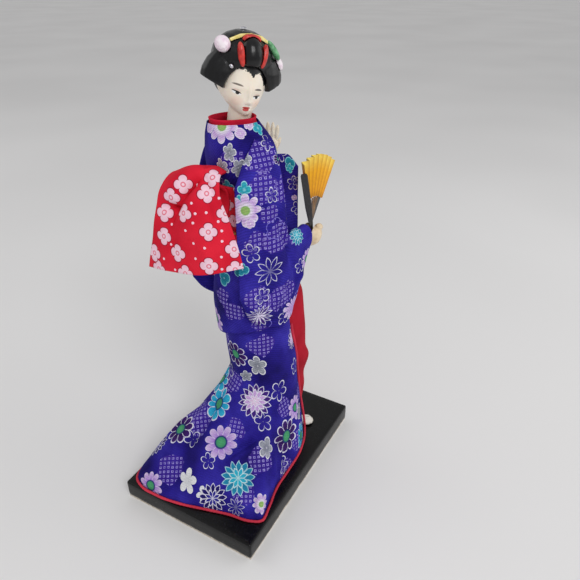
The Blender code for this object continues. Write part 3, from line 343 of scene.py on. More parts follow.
def remould(obj: bpy.types.Object, voxel: float, rounds: int) -> None:
    """Remeshes a piece evenly, at a voxel size in millimetres, and then relaxes it."""
    even = obj.modifiers.new("even", "REMESH")
    even.mode = "VOXEL"
    even.voxel_size = voxel * MM
    relax = obj.modifiers.new("relax", "SMOOTH")
    relax.factor = 0.5
    relax.iterations = rounds
    settle(obj)


def softened_copy(name: str, node: str, slot: str, voxel: float, rounds: int,
                  nodes: dict[str, bpy.types.Object]) -> bpy.types.Object:
    """Smooth moulded piece made from a copy of one of the model's solids.

    Args:
        name: name of the new piece.
        node: solid that it stands for.
        slot: not used.
        voxel: size of the even mesh in millimetres.
        rounds: rounds of smoothing.
        nodes: the model's solids by name.

    Returns:
        The new piece.
    """
    mesh = nodes[node].data.copy()
    mesh.materials.clear()
    tidy_mesh(mesh)
    obj = new_object(name, mesh, slot)
    remould(obj, voxel, rounds)
    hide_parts(node)
    return obj


# Materials

class Nodes:
    """Node tree with one way to add a node, and short ways to the common ones."""

    def __init__(self, tree: bpy.types.NodeTree) -> None:
        """Keeps the tree that the nodes go in."""
        self.tree = tree

    def add(self, kind: str, links: Optional[dict] = None, **settings: object
            ) -> bpy.types.Node:
        """Adds a node, sets its properties and feeds its inputs.

        Args:
            kind: Blender's name of the node's type.
            links: input name or number to a value, or to an output of another node.
            settings: properties of the node.

        Returns:
            The new node.
        """
        node = self.tree.nodes.new(kind)
        for key, value in settings.items():
            setattr(node, key, value)
        for key, value in (links or {}).items():
            if isinstance(value, bpy.types.NodeSocket):
                self.tree.links.new(value, node.inputs[key])
            else:
                node.inputs[key].default_value = value
        return node

    def maths(self, operation: str, first: object, second: object = 0.0,
              third: object = 0.0) -> bpy.types.NodeSocket:
        """Result of one sum on up to three numbers."""
        return self.add("ShaderNodeMath", {0: first, 1: second, 2: third},
                        operation=operation).outputs[0]

    def vector(self, operation: str, first: object, second: object = (0, 0, 0)
               ) -> bpy.types.Node:
        """Node of one sum on vectors."""
        return self.add("ShaderNodeVectorMath", {0: first, 1: second}, operation=operation)

    def ramp(self, factor: bpy.types.NodeSocket,
             stops: Sequence[tuple[float, tuple[float, float, float, float]]]
             ) -> bpy.types.Node:
        """Colour ramp through the given stops."""
        node = self.add("ShaderNodeValToRGB", {0: factor})
        band = node.color_ramp
        while len(band.elements) < len(stops):
            band.elements.new(0.5)
        for element, (position, colour) in zip(band.elements, stops):
            element.position = position
            element.color = colour
        return node

    def tones(self, factor: bpy.types.NodeSocket, *stops: tuple[float, str]
              ) -> bpy.types.NodeSocket:
        """Colour of a ramp, given as positions and hex codes."""
        return self.ramp(factor, [(at, hex_colour(code)) for at, code in stops]).outputs[0]

    def mix(self, factor: object, first: object, second: object, blend: str = "MIX"
            ) -> bpy.types.NodeSocket:
        """Mixed colour of two colours."""
        links = {0: factor, 6: first, 7: second}
        return self.add("ShaderNodeMix", links, data_type="RGBA", blend_type=blend).outputs[2]

    def noise(self, scale: float, detail: float, where: object) -> bpy.types.NodeSocket:
        """Soft random field of a scale in repeats per metre."""
        return self.add("ShaderNodeTexNoise", {"Vector": where, "Scale": scale,
                                               "Detail": detail}).outputs["Fac"]


class Shader(Nodes):
    """Node tree of one material, with its surface shader and its Object coordinates."""

    def __init__(self, name: str) -> None:
        """Starts the material."""
        self.material = bpy.data.materials.new(name)
        self.material.use_nodes = True
        super().__init__(self.material.node_tree)
        self.surface = self.tree.nodes["Principled BSDF"]
        self.place = self.add("ShaderNodeTexCoord").outputs["Object"]

    def noise(self, scale: float, detail: float = 2.0,
              where: Optional[bpy.types.NodeSocket] = None) -> bpy.types.NodeSocket:
        """Soft random field over the piece."""
        return super().noise(scale, detail, self.place if where is None else where)

    def grain(self, scale: tuple[float, float, float],
              turn: tuple[float, float, float] = (0.0, 0.0, 0.0)) -> bpy.types.NodeSocket:
        """Random field drawn out one way, for combed hair or bamboo."""
        return self.noise(1.0, where=self.add("ShaderNodeMapping", {
            "Vector": self.place, "Rotation": turn, "Scale": scale}).outputs[0])

    def pebbles(self, scale: float) -> bpy.types.NodeSocket:
        """Fine pebbled field of a crêpe's weave."""
        return self.add("ShaderNodeTexVoronoi", {"Vector": self.place, "Scale": scale}
                        ).outputs["Distance"]

    def threads(self, scale: float, distortion: float, **more: float) -> bpy.types.NodeSocket:
        """Slanting waves of spun thread."""
        links = {"Vector": self.place, "Scale": scale, "Distortion": distortion,
                 **{key.replace("_", " "): value for key, value in more.items()}}
        return self.add("ShaderNodeTexWave", links, bands_direction="DIAGONAL").outputs["Fac"]

    def relief(self, height: bpy.types.NodeSocket, depth: float) -> None:
        """Bump of a height field, with its depth in millimetres."""
        node = self.add("ShaderNodeBump", {"Height": height, "Distance": depth * MM,
                                           "Strength": 1.0})
        self.tree.links.new(node.outputs["Normal"], self.surface.inputs["Normal"])

    def finish(self, colour: object, roughness: object, **sockets: object
               ) -> bpy.types.Material:
        """Feeds the surface shader and returns the material."""
        values = {"Base Color": colour, "Roughness": roughness,
                  **{key.replace("_", " "): value for key, value in sockets.items()}}
        for key, value in values.items():
            if isinstance(value, bpy.types.NodeSocket):
                self.tree.links.new(value, self.surface.inputs[key])
            else:
                self.surface.inputs[key].default_value = value
        return self.material


def mottled(name: str, scale: float, detail: float, pale: tuple[float, str],
            dark: tuple[float, str], depth: float, roughness: float, **sockets: float
            ) -> bpy.types.Material:
    """Finish that runs between two tones with one soft field, which is its relief too.

    Args:
        name: name of the material.
        scale: the field's repeats per metre.
        detail: the field's layers of detail.
        pale: level of the field where the pale tone starts, and the tone.
        dark: level up to which the dark tone goes, and the tone.
        depth: depth of the relief in millimetres, 0 for none.
        roughness: of the surface.
        sockets: further inputs of the surface shader.

    Returns:
        The material.
    """
    shader = Shader(name)
    mottle = shader.noise(scale, detail)
    if depth:
        shader.relief(mottle, depth)
    return shader.finish(shader.tones(mottle, dark, pale), roughness, **sockets)


def group_tree(name: str) -> tuple[Nodes, bpy.types.Node]:
    """New group of nodes that draws something over a colour, at a place on the cloth.

    Args:
        name: name of the group.

    Returns:
        The group's nodes and its input node.
    """
    tree = bpy.data.node_groups.new(name, "ShaderNodeTree")
    for label, kind in (("Point", "Vector"), ("Colour", "Color"), ("Place", "Vector"),
                        ("Turn", "Vector"), ("Size", "Vector")):
        tree.interface.new_socket(label, in_out="INPUT", socket_type="NodeSocket" + kind)
    tree.interface.new_socket("Result", in_out="OUTPUT", socket_type="NodeSocketColor")
    nodes = Nodes(tree)
    return nodes, nodes.add("NodeGroupInput")


# The robe's print

class Lobes(Enum):
    """Ways that a printed shape's edge runs round its middle."""

    ROUND = "COSINE"
    POINTED = "PINGPONG"


@dataclass(frozen=True)
class Bloom:
    """One printed shape with petals or lobes: reach = waist + (1 - waist) · lobe(angle)^power."""

    petals: int
    waist: float
    power: float
    lobes: Lobes
    heart: tuple[tuple[float, str], ...]
    outline: float = 0.07
    outline_hex: str = "#F0EEFF"
    filled: float = 1.0
    squeeze: float = 1.0


DAISY_HEART = ((0.0, "#56B07C"), (0.26, "#4AA070"), (0.33, "#243A7A"), (0.36, "#243A7A"))
BLOOMS: dict[str, Bloom] = {
    "cyan daisy": Bloom(9, 0.46, 0.36, Lobes.ROUND,
                        DAISY_HEART + ((0.4, "#1E9AD0"), (1.0, "#3FC5E2"))),
    "lilac daisy": Bloom(10, 0.48, 0.4, Lobes.ROUND,
                         DAISY_HEART + ((0.42, "#B48CE0"), (1.0, "#E6CFF6")), 0.03, "#E9DAF8"),
    "purple daisy": Bloom(9, 0.46, 0.36, Lobes.ROUND,
                          DAISY_HEART + ((0.4, "#32145C"), (1.0, "#47237A")), 0.08),
    "open lilac": Bloom(8, 0.4, 0.42, Lobes.ROUND,
                        ((0.0, "#A9C97A"), (0.24, "#8FBE68"), (0.3, "#F2ECFA"),
                         (0.6, "#D2AEEA"), (1.0, "#F0E4FA")), 0.05, "#F4EEFF"),
    "mum outer": Bloom(14, 0.72, 0.8, Lobes.POINTED, ((0.0, "#3A1A70"), (1.0, "#4A2A8C")), 0.055),
    "mum middle": Bloom(11, 0.66, 0.8, Lobes.POINTED, ((0.0, "#C79BE0"), (1.0, "#DDBCF0")), 0.1),
    "mum inner": Bloom(7, 0.5, 0.8, Lobes.POINTED, ((0.0, "#F4D8F0"), (1.0, "#E6C4F2")), 0.16),
    "teal outer": Bloom(13, 0.7, 0.8, Lobes.POINTED, ((0.0, "#1C6E98"), (1.0, "#2A9AC0")), 0.06,
                        "#BFEAF4"),
    "teal inner": Bloom(8, 0.55, 0.8, Lobes.POINTED, ((0.0, "#3FC5DC"), (1.0, "#2FB0D2")), 0.12,
                        "#D4F2F8"),
    "dark outer": Bloom(13, 0.7, 0.8, Lobes.POINTED, ((0.0, "#1A1050"), (1.0, "#241C78")), 0.06),
    "dark inner": Bloom(8, 0.5, 0.8, Lobes.POINTED, ((0.0, "#3A34A8"), (1.0, "#2A2488")), 0.13),
    "lotus": Bloom(9, 0.45, 0.75, Lobes.POINTED, ((0.0, "#2C2494"), (1.0, "#2C2494")), 0.085,
                   "#E8E6FA", 0.25),
    "pale leaf": Bloom(5, 0.42, 0.55, Lobes.ROUND,
                       ((0.0, "#F2F2F6"), (0.12, "#8C9098"), (0.6, "#B4B8BE"), (1.0, "#8C929C")),
                       0.11, "#F4F4F8", 0.85, 0.72),
    "white leaf": Bloom(5, 0.34, 0.6, Lobes.ROUND,
                        ((0.0, "#FFFFFF"), (0.08, "#D9DBE0"), (0.7, "#F2F3F6"), (1.0, "#E4E6EA")),
                        0.05, "#FFFFFF", 1.0, 0.8),
    "outline leaf": Bloom(5, 0.34, 0.6, Lobes.ROUND, ((0.0, "#FFFFFF"), (0.06, "#3A2E9E"),
                                                      (1.0, "#2C2290")), 0.1, "#EEEDFB", 0.4,
                          0.8),
    "lilac leaf": Bloom(2, 0.5, 0.7, Lobes.ROUND, ((0.0, "#FFFFFF"), (0.2, "#D9B8EE"),
                                                   (1.0, "#E9D6F6")), 0.1, "#F6F0FF", 1.0, 0.7),
    "teal leaf": Bloom(3, 0.6, 0.6, Lobes.ROUND, ((0.0, "#BFEAF4"), (0.15, "#1F7E9C"),
                                                  (1.0, "#2A9AB0")), 0.12, "#8FDCE8", 1.0, 0.85),
    "cyan leaf": Bloom(4, 0.5, 0.6, Lobes.ROUND, ((0.0, "#9FE4EE"), (0.3, "#2FA8C0"),
                                                  (1.0, "#3FC0D0")), 0.11, "#A9E8F0", 1.0, 0.8),
    "cloud": Bloom(5, 0.78, 0.7, Lobes.ROUND, ((0.0, "#7A70DC"), (1.0, "#7A70DC")), 0.05,
                   "#8C82E4", 0.0),
    "blossom": Bloom(4, 0.5, 0.35, Lobes.ROUND,
                     ((0.0, "#A01030"), (0.09, "#A01030"), (0.13, "#FBD9E8"), (0.24, "#FBD9E8"),
                      (0.29, "#E8506A"), (0.36, "#FBD9E8"), (1.0, "#F6C2D6")), 0.09, "#A8102E"),
    "bud": Bloom(3, 0.9, 1.0, Lobes.ROUND, ((0.0, "#FBD9E8"), (1.0, "#FBD9E8")), 0.02,
                 "#FBD9E8"),
}
STACKS: dict[str, tuple[tuple[str, float, float], ...]] = {
    "mum": (("mum outer", 1.0, 0.0), ("mum middle", 0.7, 13.0), ("mum inner", 0.38, 0.0)),
    "teal mum": (("teal outer", 1.0, 0.0), ("teal inner", 0.6, 10.0)),
    "dark mum": (("dark outer", 1.0, 0.0), ("dark inner", 0.6, 10.0)),
}


@dataclass(frozen=True)
class Print:
    """One printed shape and where it lies: parts of the way across and along its cloth."""

    kind: str
    across: float
    along: float
    size: float
    turn: float = 0.0


def in_runs(*runs: tuple) -> tuple[Print, ...]:
    """Prints given as runs of one kind: its name, then rows of the other values."""
    return tuple(Print(kind, *row) for kind, *rows in runs for row in rows)


@dataclass(frozen=True)
class Crease:
    """A fold in a cloth, from one place on it to another: a bell across, fading at its ends."""

    start: tuple[float, float]
    end: tuple[float, float]
    width: float
    height: float


def creases(*rows: tuple[float, float, float, float, float, float]) -> tuple[Crease, ...]:
    """Creases given as rows of both places, the width and the height."""
    return tuple(Crease(row[:2], row[2:4], *row[4:]) for row in rows)


@dataclass(frozen=True)
class Cloth:
    """Cloth as rows and columns of points, in millimetres above the board.

    Each row closes on itself where wrap is set. outward is 1 or -1, the side of the grid's
    normals that faces out.
    """

    grid: Array
    wrap: bool
    outward: float = 1.0

    def moved(self, lift: Array) -> "Cloth":
        """The same cloth with each point moved along its normal."""
        return Cloth(self.grid + normals_of(self.grid, self.wrap) * lift[..., None], self.wrap,
                     self.outward)

    def folded(self, folds: Sequence[Crease]) -> "Cloth":
        """Cloth with folds: each point moves outwards by height · exp(-(gap / width)^2)."""
        rows, columns = self.grid.shape[:2]
        lift = np.zeros((rows, columns))
        for crease in folds:
            a, b = (self.grid[int(v * (rows - 1)), int(u * (columns - 1))]
                    for u, v in (crease.start, crease.end))
            way = b - a
            t = np.clip(((self.grid - a) @ way) / max(way @ way, 1e-9), 0, 1)
            gap = np.linalg.norm(self.grid - (a + t[..., None] * way), axis=2)
            fade = FOLD_ENDS + (1 - FOLD_ENDS) * np.sin(math.pi * t)
            lift += crease.height * fade * np.exp(-((gap / crease.width) ** 2))
        return self.moved(lift * self.outward)

    def rippled(self, seed: int, size: float, depth: float,
                stretch: tuple[float, float, float] = (1.0, 1.0, 1.0)) -> "Cloth":
        """Cloth with soft unevenness: depth · mean of sines sin(k · p + phase) of random ways.

        Args:
            seed: picks the pattern.
            size: mean length of a wave in millimetres.
            depth: height of the waves in millimetres.
            stretch: how much longer the waves are along x, y and z.

        Returns:
            The moved cloth.
        """
        chance = np.random.default_rng(seed)
        ways = chance.normal(size=(RIPPLE_WAVES, 3)) / np.array(stretch)
        ways *= 2 * math.pi / size / np.sqrt(3)
        phase = chance.uniform(0, 2 * math.pi, RIPPLE_WAVES)
        waves = np.sin(self.grid @ ways.T + phase).sum(-1)
        return self.moved(waves * depth / math.sqrt(RIPPLE_WAVES))

    def cell(self, across: float, along: float) -> tuple[int, int]:
        """Row and column of the cell at parts of the way across and along the cloth."""
        rows, columns = self.grid.shape[:2]
        j = int(across * (columns if self.wrap else columns - 1))
        return (min(int(along * (rows - 1)), rows - 2),
                j % columns if self.wrap else min(j, columns - 2))

    def place(self, item: Print) -> tuple[Vector, Matrix]:
        """Place of a print in metres, and the turn that lays a flat shape on the cloth there."""
        grid = self.grid
        i, j = self.cell(item.across, item.along)
        k = (j + 1) % grid.shape[1]
        middle_point = (grid[i, j] + grid[i + 1, k]) / 2
        normal = np.cross(grid[i, k] - grid[i, j], grid[i + 1, j] - grid[i, j]) * self.outward
        normal /= max(np.linalg.norm(normal), 1e-9)
        upward = np.array((0.0, 0.0, 1.0) if abs(normal[2]) < UPRIGHT
                          else (*CAMERA_HEADING, 0.3))
        right = np.cross(upward, normal)
        right /= np.linalg.norm(right)
        basis = Matrix(np.column_stack([right, np.cross(normal, right), normal]).tolist())
        return (Vector((middle_point + (0, 0, BOARD_TOP)) * MM),
                basis @ Matrix.Rotation(math.radians(item.turn), 3, "Z"))

    def piece(self, name: str, slot: str, flip: bool = False) -> bpy.types.Object:
        """Object of the bare surface, whose faces turn the other way round with flip."""
        return new_object(name, sheet_mesh(name, self.grid, self.wrap, flip), slot)

    def paint(self, obj: bpy.types.Object, name: str, prints: Sequence[Print],
              zones: tuple[int, int], finish: Callable[..., bpy.types.Material]) -> None:
        """Gives each zone of a piece a material that draws only the prints that reach it.

        Args:
            obj: the piece, whose first faces are the cells of the grid in order.
            name: start of the materials' names.
            prints: all that is printed on the cloth.
            zones: how many zones there are along and across.
            finish: makes the material for some of the prints.
        """
        grid = self.grid
        rows, columns = grid.shape[:2]
        across = columns if self.wrap else columns - 1
        slots = np.zeros((rows - 1, across), int)
        centres = np.array([grid[self.cell(p.across, p.along)] for p in prints])
        for i in range(zones[0]):
            for j in range(zones[1]):
                r = np.arange((rows - 1) * i // zones[0], (rows - 1) * (i + 1) // zones[0] + 1)
                c = np.arange(across * j // zones[1], across * (j + 1) // zones[1] + 1)
                points = grid[np.ix_(r, c % columns)].reshape(-1, 3)
                gaps = np.linalg.norm(points[:, None] - centres[None], axis=2).min(0)
                near = [p for p, gap in zip(prints, gaps) if gap < p.size * PRINT_REACH]
                slots[np.ix_(r[:-1], c[:-1])] = len(obj.data.materials)
                obj.data.materials.append(finish(f"{name}_{i}_{j}", self, near))
        picked = np.zeros(len(obj.data.polygons), int)
        picked[:slots.size] = slots.ravel()
        obj.data.polygons.foreach_set("material_index", picked)

    def hang(self, obj: bpy.types.Object, node: str, wall: float, held: str,
             rests_on: Sequence[str]) -> None:
        """Args:
            obj: the piece.
            node: the solid that it stands for.
            wall: thickness in millimetres.
            held: not used.
            rests_on: not used.
        """
        thicken(obj, wall)
        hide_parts(node)
        grid = self.grid
        closed = np.concatenate([grid, grid[:, :1]], axis=1) if self.wrap else grid
        width = edge_lengths(closed, 1).sum(1).max()
        length = edge_lengths(closed, 0).sum(0).max()
        low, high = closed[1:, :-1], closed[:-1, 1:]
        area = sum(np.linalg.norm(np.cross(low - corner, high - corner), axis=2).sum()
                   for corner in (closed[:-1, :-1], closed[1:, 1:])) / 2
        length = max(length, area / width, LEAST_CUT)
        area = max(area, LEAST_AREA * width * length)


EDGE_SOFT = 0.02
LINE_SOFT = 0.03
FEW_PETALS = 6
PETAL_GAP = 0.01
PETAL_GAP_LEAST = 0.02
GAP_COVER = 0.8
DOTS_RING = ((0.0, (0, 0, 0, 1)), (0.1, (0, 0, 0, 1)), (0.14, WHITE), (0.24, WHITE),
             (0.29, (0, 0, 0, 1)))
DOTS_RAGGED_SCALE = 150.0
DOTS_WORN_SCALE = 900.0
DOTS_REACH = 1.4
DOTS_GROUND = (0.55, "#4A2CA4")
DOTS_LINE = (1.6, "#B4A8F4")


def shape_group(label: str) -> bpy.types.NodeTree:
    """Group that draws one petalled shape over a colour, in the shape's own flat coordinates.

    Args:
        label: name of the shape in BLOOMS.

    Returns:
        The group, made once for each shape.
    """
    name = "print_" + label.replace(" ", "_")
    found = bpy.data.node_groups.get(name)
    if found:
        return found
    bloom = BLOOMS[label]
    nodes, given = group_tree(name)
    local = nodes.add("ShaderNodeMapping", {
        "Vector": given.outputs["Point"], "Location": given.outputs["Place"],
        "Rotation": given.outputs["Turn"], "Scale": given.outputs["Size"]},
        vector_type="TEXTURE").outputs[0]
    distance = nodes.vector("LENGTH", local).outputs["Value"]
    split = nodes.add("ShaderNodeSeparateXYZ", {0: local})
    angle = nodes.maths("ARCTAN2", split.outputs[1], split.outputs[0])
    if bloom.lobes is Lobes.ROUND:
        wave = nodes.maths("COSINE", nodes.maths("MULTIPLY", angle, bloom.petals / 2))
        lobe = nodes.maths("ABSOLUTE", wave)
    else:
        lobe = nodes.maths("PINGPONG", nodes.maths("MULTIPLY", angle, bloom.petals / math.pi),
                           1.0)
    reach = nodes.maths("MULTIPLY_ADD", nodes.maths("POWER", lobe, bloom.power),
                        1 - bloom.waist, bloom.waist)
    edge = nodes.maths("SUBTRACT", reach, distance)
    inner, fill = bloom.outline, (0, 0, 0, bloom.filled)
    line = nodes.ramp(edge, ((0.0, (1, 1, 1, 0)), (EDGE_SOFT, WHITE), (inner, WHITE),
                             (inner + LINE_SOFT, fill), (1.0, fill)))
    petal = nodes.tones(distance, *bloom.heart)
    dressed = nodes.mix(line.outputs[0], petal, hex_colour(bloom.outline_hex))
    if bloom.petals > FEW_PETALS:
        gap = nodes.maths("MULTIPLY", nodes.maths("GREATER_THAN", distance, bloom.heart[-2][0]),
                          nodes.maths("LESS_THAN", nodes.maths("MULTIPLY", lobe, distance),
                                      PETAL_GAP * bloom.petals + PETAL_GAP_LEAST))
        dressed = nodes.mix(nodes.maths("MULTIPLY", gap, GAP_COVER), dressed,
                            hex_colour(bloom.outline_hex))
    nodes.add("NodeGroupOutput", {0: nodes.mix(line.outputs[1], given.outputs["Colour"],
                                               dressed)})
    return nodes.tree


def dots_group() -> bpy.types.NodeTree:
    """Group that draws a cloud of small dyed squares: a lattice of rings inside a blob."""
    found = bpy.data.node_groups.get("print_dots")
    if found:
        return found
    nodes, given = group_tree("print_dots")
    local = nodes.add("ShaderNodeMapping", {
        "Vector": given.outputs["Point"], "Location": given.outputs["Place"],
        "Rotation": given.outputs["Turn"], "Scale": (1.0, 1.0, 1.0)},
        vector_type="TEXTURE").outputs[0]
    lattice = nodes.vector("MULTIPLY", local, (1000 / DOT_PITCH, 1000 / DOT_PITCH, 0.0))
    cell = nodes.vector("ABSOLUTE", nodes.vector(
        "SUBTRACT", nodes.vector("FRACTION", lattice.outputs[0]).outputs[0],
        (0.5, 0.5, 0.0)).outputs[0])
    split = nodes.add("ShaderNodeSeparateXYZ", {0: cell.outputs[0]})
    ring = nodes.ramp(nodes.maths("MAXIMUM", split.outputs[0], split.outputs[1]), DOTS_RING)
    spread = nodes.vector("LENGTH", nodes.vector("DIVIDE", local, given.outputs["Size"]
                                                 ).outputs[0]).outputs["Value"]
    point = given.outputs["Point"]
    ragged = nodes.maths("ADD", spread, nodes.noise(DOTS_RAGGED_SCALE, 1.0, point))
    inside = nodes.maths("LESS_THAN", ragged, DOTS_REACH)
    worn = nodes.maths("MULTIPLY", inside, nodes.noise(DOTS_WORN_SCALE, 0.0, point))
    tint = nodes.mix(nodes.maths("MULTIPLY", inside, DOTS_GROUND[0]), given.outputs["Colour"],
                     hex_colour(DOTS_GROUND[1]))
    amount = nodes.maths("MULTIPLY", nodes.maths("MULTIPLY", ring.outputs[0], worn),
                         DOTS_LINE[0])
    nodes.add("NodeGroupOutput", {0: nodes.mix(amount, tint, hex_colour(DOTS_LINE[1]))})
    return nodes.tree


def printed(shader: Shader, colour: bpy.types.NodeSocket, cloth: Cloth,
            prints: Sequence[Print]) -> bpy.types.NodeSocket:
    """Draws all the prints of a cloth over its plain colour, one group node for each layer.

    Args:
        shader: material that is being built.
        colour: plain colour of the cloth.
        cloth: what it is printed on.
        prints: what is printed, the lowest layer first.

    Returns:
        The colour with the prints.
    """
    for item in prints:
        place, turn = cloth.place(item)
        for label, share, extra in STACKS.get(item.kind, ((item.kind, 1.0, 0.0),)):
            dots = label == "dots"
            spin = turn @ Matrix.Rotation(math.radians(extra), 3, "Z")
            size = item.size * share * MM
            squeeze = 1.0 if dots else BLOOMS[label].squeeze
            deep = size if dots else max(LEAST_DEPTH * MM, size * PRINT_DEPTH)
            node = shader.add("ShaderNodeGroup",
                              node_tree=dots_group() if dots else shape_group(label))
            for socket, value in (("Point", shader.place), ("Colour", colour)):
                shader.tree.links.new(value, node.inputs[socket])
            node.inputs["Place"].default_value = place
            node.inputs["Turn"].default_value = tuple(spin.to_euler("XYZ"))
            node.inputs["Size"].default_value = (size * squeeze, size, deep)
            colour = node.outputs["Result"]
    return colour


def robe_material(name: str, cloth: Cloth, prints: Sequence[Print]) -> bpy.types.Material:
    """Printed crêpe, which is matt with a fine slanting crinkle."""
    shader = Shader(name)
    colour = shader.tones(shader.noise(34.0, 3.0), (0.34, "#170D62"), (0.5, "#281C8E"),
                          (0.66, "#3D34B4"))
    colour = printed(shader, colour, cloth, prints)
    thread = shader.threads(420.0, 3.0, Detail=1.0, Detail_Scale=3.0)
    shade = shader.tones(thread, (0.0, "#C4C4C4"), (1.0, "#FFFFFF"))
    colour = shader.mix(0.55, colour, shade, "MULTIPLY")
    shader.relief(thread, 0.12)
    return shader.finish(colour, 0.85, Specular_IOR_Level=0.15)


def sash_material(name: str, cloth: Cloth, prints: Sequence[Print]) -> bpy.types.Material:
    """Red crêpe with pale blossoms, each between two small dots."""
    shader = Shader(name)
    colour = shader.tones(shader.noise(45.0), (0.3, "#D4142F"), (0.65, "#F0283F"))
    colour = printed(shader, colour, cloth, prints)
    shader.relief(shader.pebbles(1700.0), 0.12)
    return shader.finish(colour, 0.8, Specular_IOR_Level=0.15)


def red_crepe(name: str, code: str) -> bpy.types.Material:
    """Plain red crêpe with a fine grain and darker patches at random."""
    shader = Shader(name)
    deep = tuple(c * 0.72 for c in hex_colour(code)[:3]) + (1.0,)
    colour = shader.ramp(shader.noise(60.0, 3.0), ((0.3, deep), (0.62, hex_colour(code))))
    shader.relief(shader.pebbles(1900.0), 0.1)
    return shader.finish(colour.outputs[0], 0.8, Specular_IOR_Level=0.15)


# Shared body shape

FIGURE_LINE = ((0, 15.0, -6.0, 0.0), (60, 14.0, -7.0, 0.0), (90, 11.5, -5.0, -2.0),
               (125, 10.0, -4.5, -4.0), (160, 9.0, -5.0, -8.0), (185, 7.0, -3.5, -20.0),
               (210, 6.5, -2.0, -36.0))
TUNIC_SECTIONS = ((93, 21.0, 22.0, 20.5, 22.5), (108, 21.0, 22.5, 20.5, 22.5),
                  (124, 19.5, 21.0, 19.0, 21.0), (138, 17.0, 18.0, 17.0, 17.5),
                  (149, 15.5, 16.0, 15.5, 15.5), (165, 15.2, 15.6, 15.2, 15.2),
                  (180, 15.2, 16.0, 15.6, 15.6), (186, 16.0, 17.4, 17.4, 17.0),
                  (192, 16.5, 17.6, 18.0, 17.5), (198, 15.5, 17.2, 17.0, 16.5),
                  (203, 13.0, 16.8, 14.0, 14.5), (206, 11.0, 16.2, 12.0, 12.5),
                  (208.5, 9.4, 15.6, 10.6, 10.6))
TUNIC_HEM_TILT = 0.28
TUNIC_TILT_TOP = 150.0
OBI_ROOM_ENDS = (138.0, 186.0)
OBI_THICKNESS = 1.1
OBI_CORD_RADIUS = 0.8
OBI_CORD_GAP = 0.7
SASH_REACH = SEAT_GAP + OBI_THICKNESS + OBI_CORD_GAP + 2 * OBI_CORD_RADIUS + SEAT_GAP
SASH_BLEND = 8.0
SLEEVE_GAP = 0.9
SLEEVE_LEAST = 3.0


def middle(z: Array) -> tuple[Array, Array, Array]:
    """Place and heading in radians of the figure's middle line at heights."""
    x, y, turn = spline(FIGURE_LINE, z).T
    return x, y, np.radians(turn)


def hem_slant(z: Array, y: Array) -> Array:
    """How far the upper robe drops at heights and ys: by its tilt at the hem, and none above."""
    drop = np.clip((TUNIC_TILT_TOP - z) / (TUNIC_TILT_TOP - TUNIC_SECTIONS[0][0]), 0, 1)
    return TUNIC_HEM_TILT * y * drop


def tunic_grid(z: Array, angles: Array, inset: float = 0.0) -> Array:
    """Outer face of the upper robe: an egg-shaped section round the middle line.

    Args:
        z: heights of the rows.
        angles: angles of the columns from the body's front.
        inset: how far the face moves inwards.

    Returns:
        Points as rows, columns, xyz. The hem tilts with y.
    """
    front, back, right, left = spline(TUNIC_SECTIONS, z).T
    x, y, turn = middle(z)
    reach = oval(front[:, None], back[:, None], right[:, None], left[:, None],
                 angles[None, :]) - inset
    px = x[:, None] + reach * np.cos(angles[None, :] + turn[:, None])
    py = y[:, None] + reach * np.sin(angles[None, :] + turn[:, None])
    return np.stack([px, py, z[:, None] - hem_slant(z[:, None], py)], -1)


def keep_off(points: Array, margin: Array) -> Array:
    """Points moved outwards where they come nearer than a margin to the robe and its sash."""
    z = points[:, 2] + hem_slant(points[:, 2], points[:, 1])
    x, y, turn = middle(z)
    away = points[:, :2] - np.column_stack([x, y])
    angles = np.arctan2(away[:, 1], away[:, 0]) - turn
    low, high = OBI_ROOM_ENDS
    sash = np.interp(z, (low - SASH_BLEND, low, high, high + SASH_BLEND),
                     (0, SASH_REACH, SASH_REACH, 0))
    reach = oval(*spline(TUNIC_SECTIONS, z).T, angles) + sash + margin
    grow = np.maximum(1.0, reach / np.hypot(*away.T))
    grow[z > TUNIC_SECTIONS[-1][0]] = 1.0
    moved = points.copy()
    moved[:, :2] += away * (grow - 1.0)[:, None]
    return moved


# The robe

HEM_OUTLINE = ((29.0, -28.5), (21.0, -32.5), (8.0, -36.0), (-8.0, -37.0), (-24.0, -37.5),
               (-38.0, -40.5), (-46.5, -42.0), (-50.5, -36.0), (-52.5, -24.0), (-56.5, -9.0),
               (-60.5, 6.0), (-62.5, 22.0), (-62.0, 33.0), (-58.0, 40.5), (-46.0, 42.5),
               (-26.0, 41.5), (-6.0, 38.5), (12.0, 34.0), (26.0, 26.0), (35.0, 14.0))
SKIRT_FLARE = ((0, 1.0), (5, 0.975), (12, 0.86), (22, 0.62), (34, 0.34), (46, 0.13), (60, 0.0),
               (104, 0.0))
KNEE_RADIUS = 20.6
SKIRT_TOP_RADIUS = 19.0
SKIRT_TOP = 104.0
SKIRT_ROWS = ((0.6, 34, 84), (35, SKIRT_TOP, 60))
KNEE_HEIGHT = 60
EDGE_ANGLES = (-56.0, 34.0)
UNDERSKIRT_SECTIONS = ((21, 16.5, 12.0), (30, 16.0, 14.0), (42, 15.0, 15.0), (54, 15.5, 17.5),
                       (64, 16.0, 14.5), (80, 16.0, 16.0), (100, 15.5, 16.5), (112, 14.5, 14.0),
                       (119, 13.5, 7.0))
UNDERSKIRT_FOLD = (-32.0, 17.0)
SHOULDER = (184.0, 207.0)
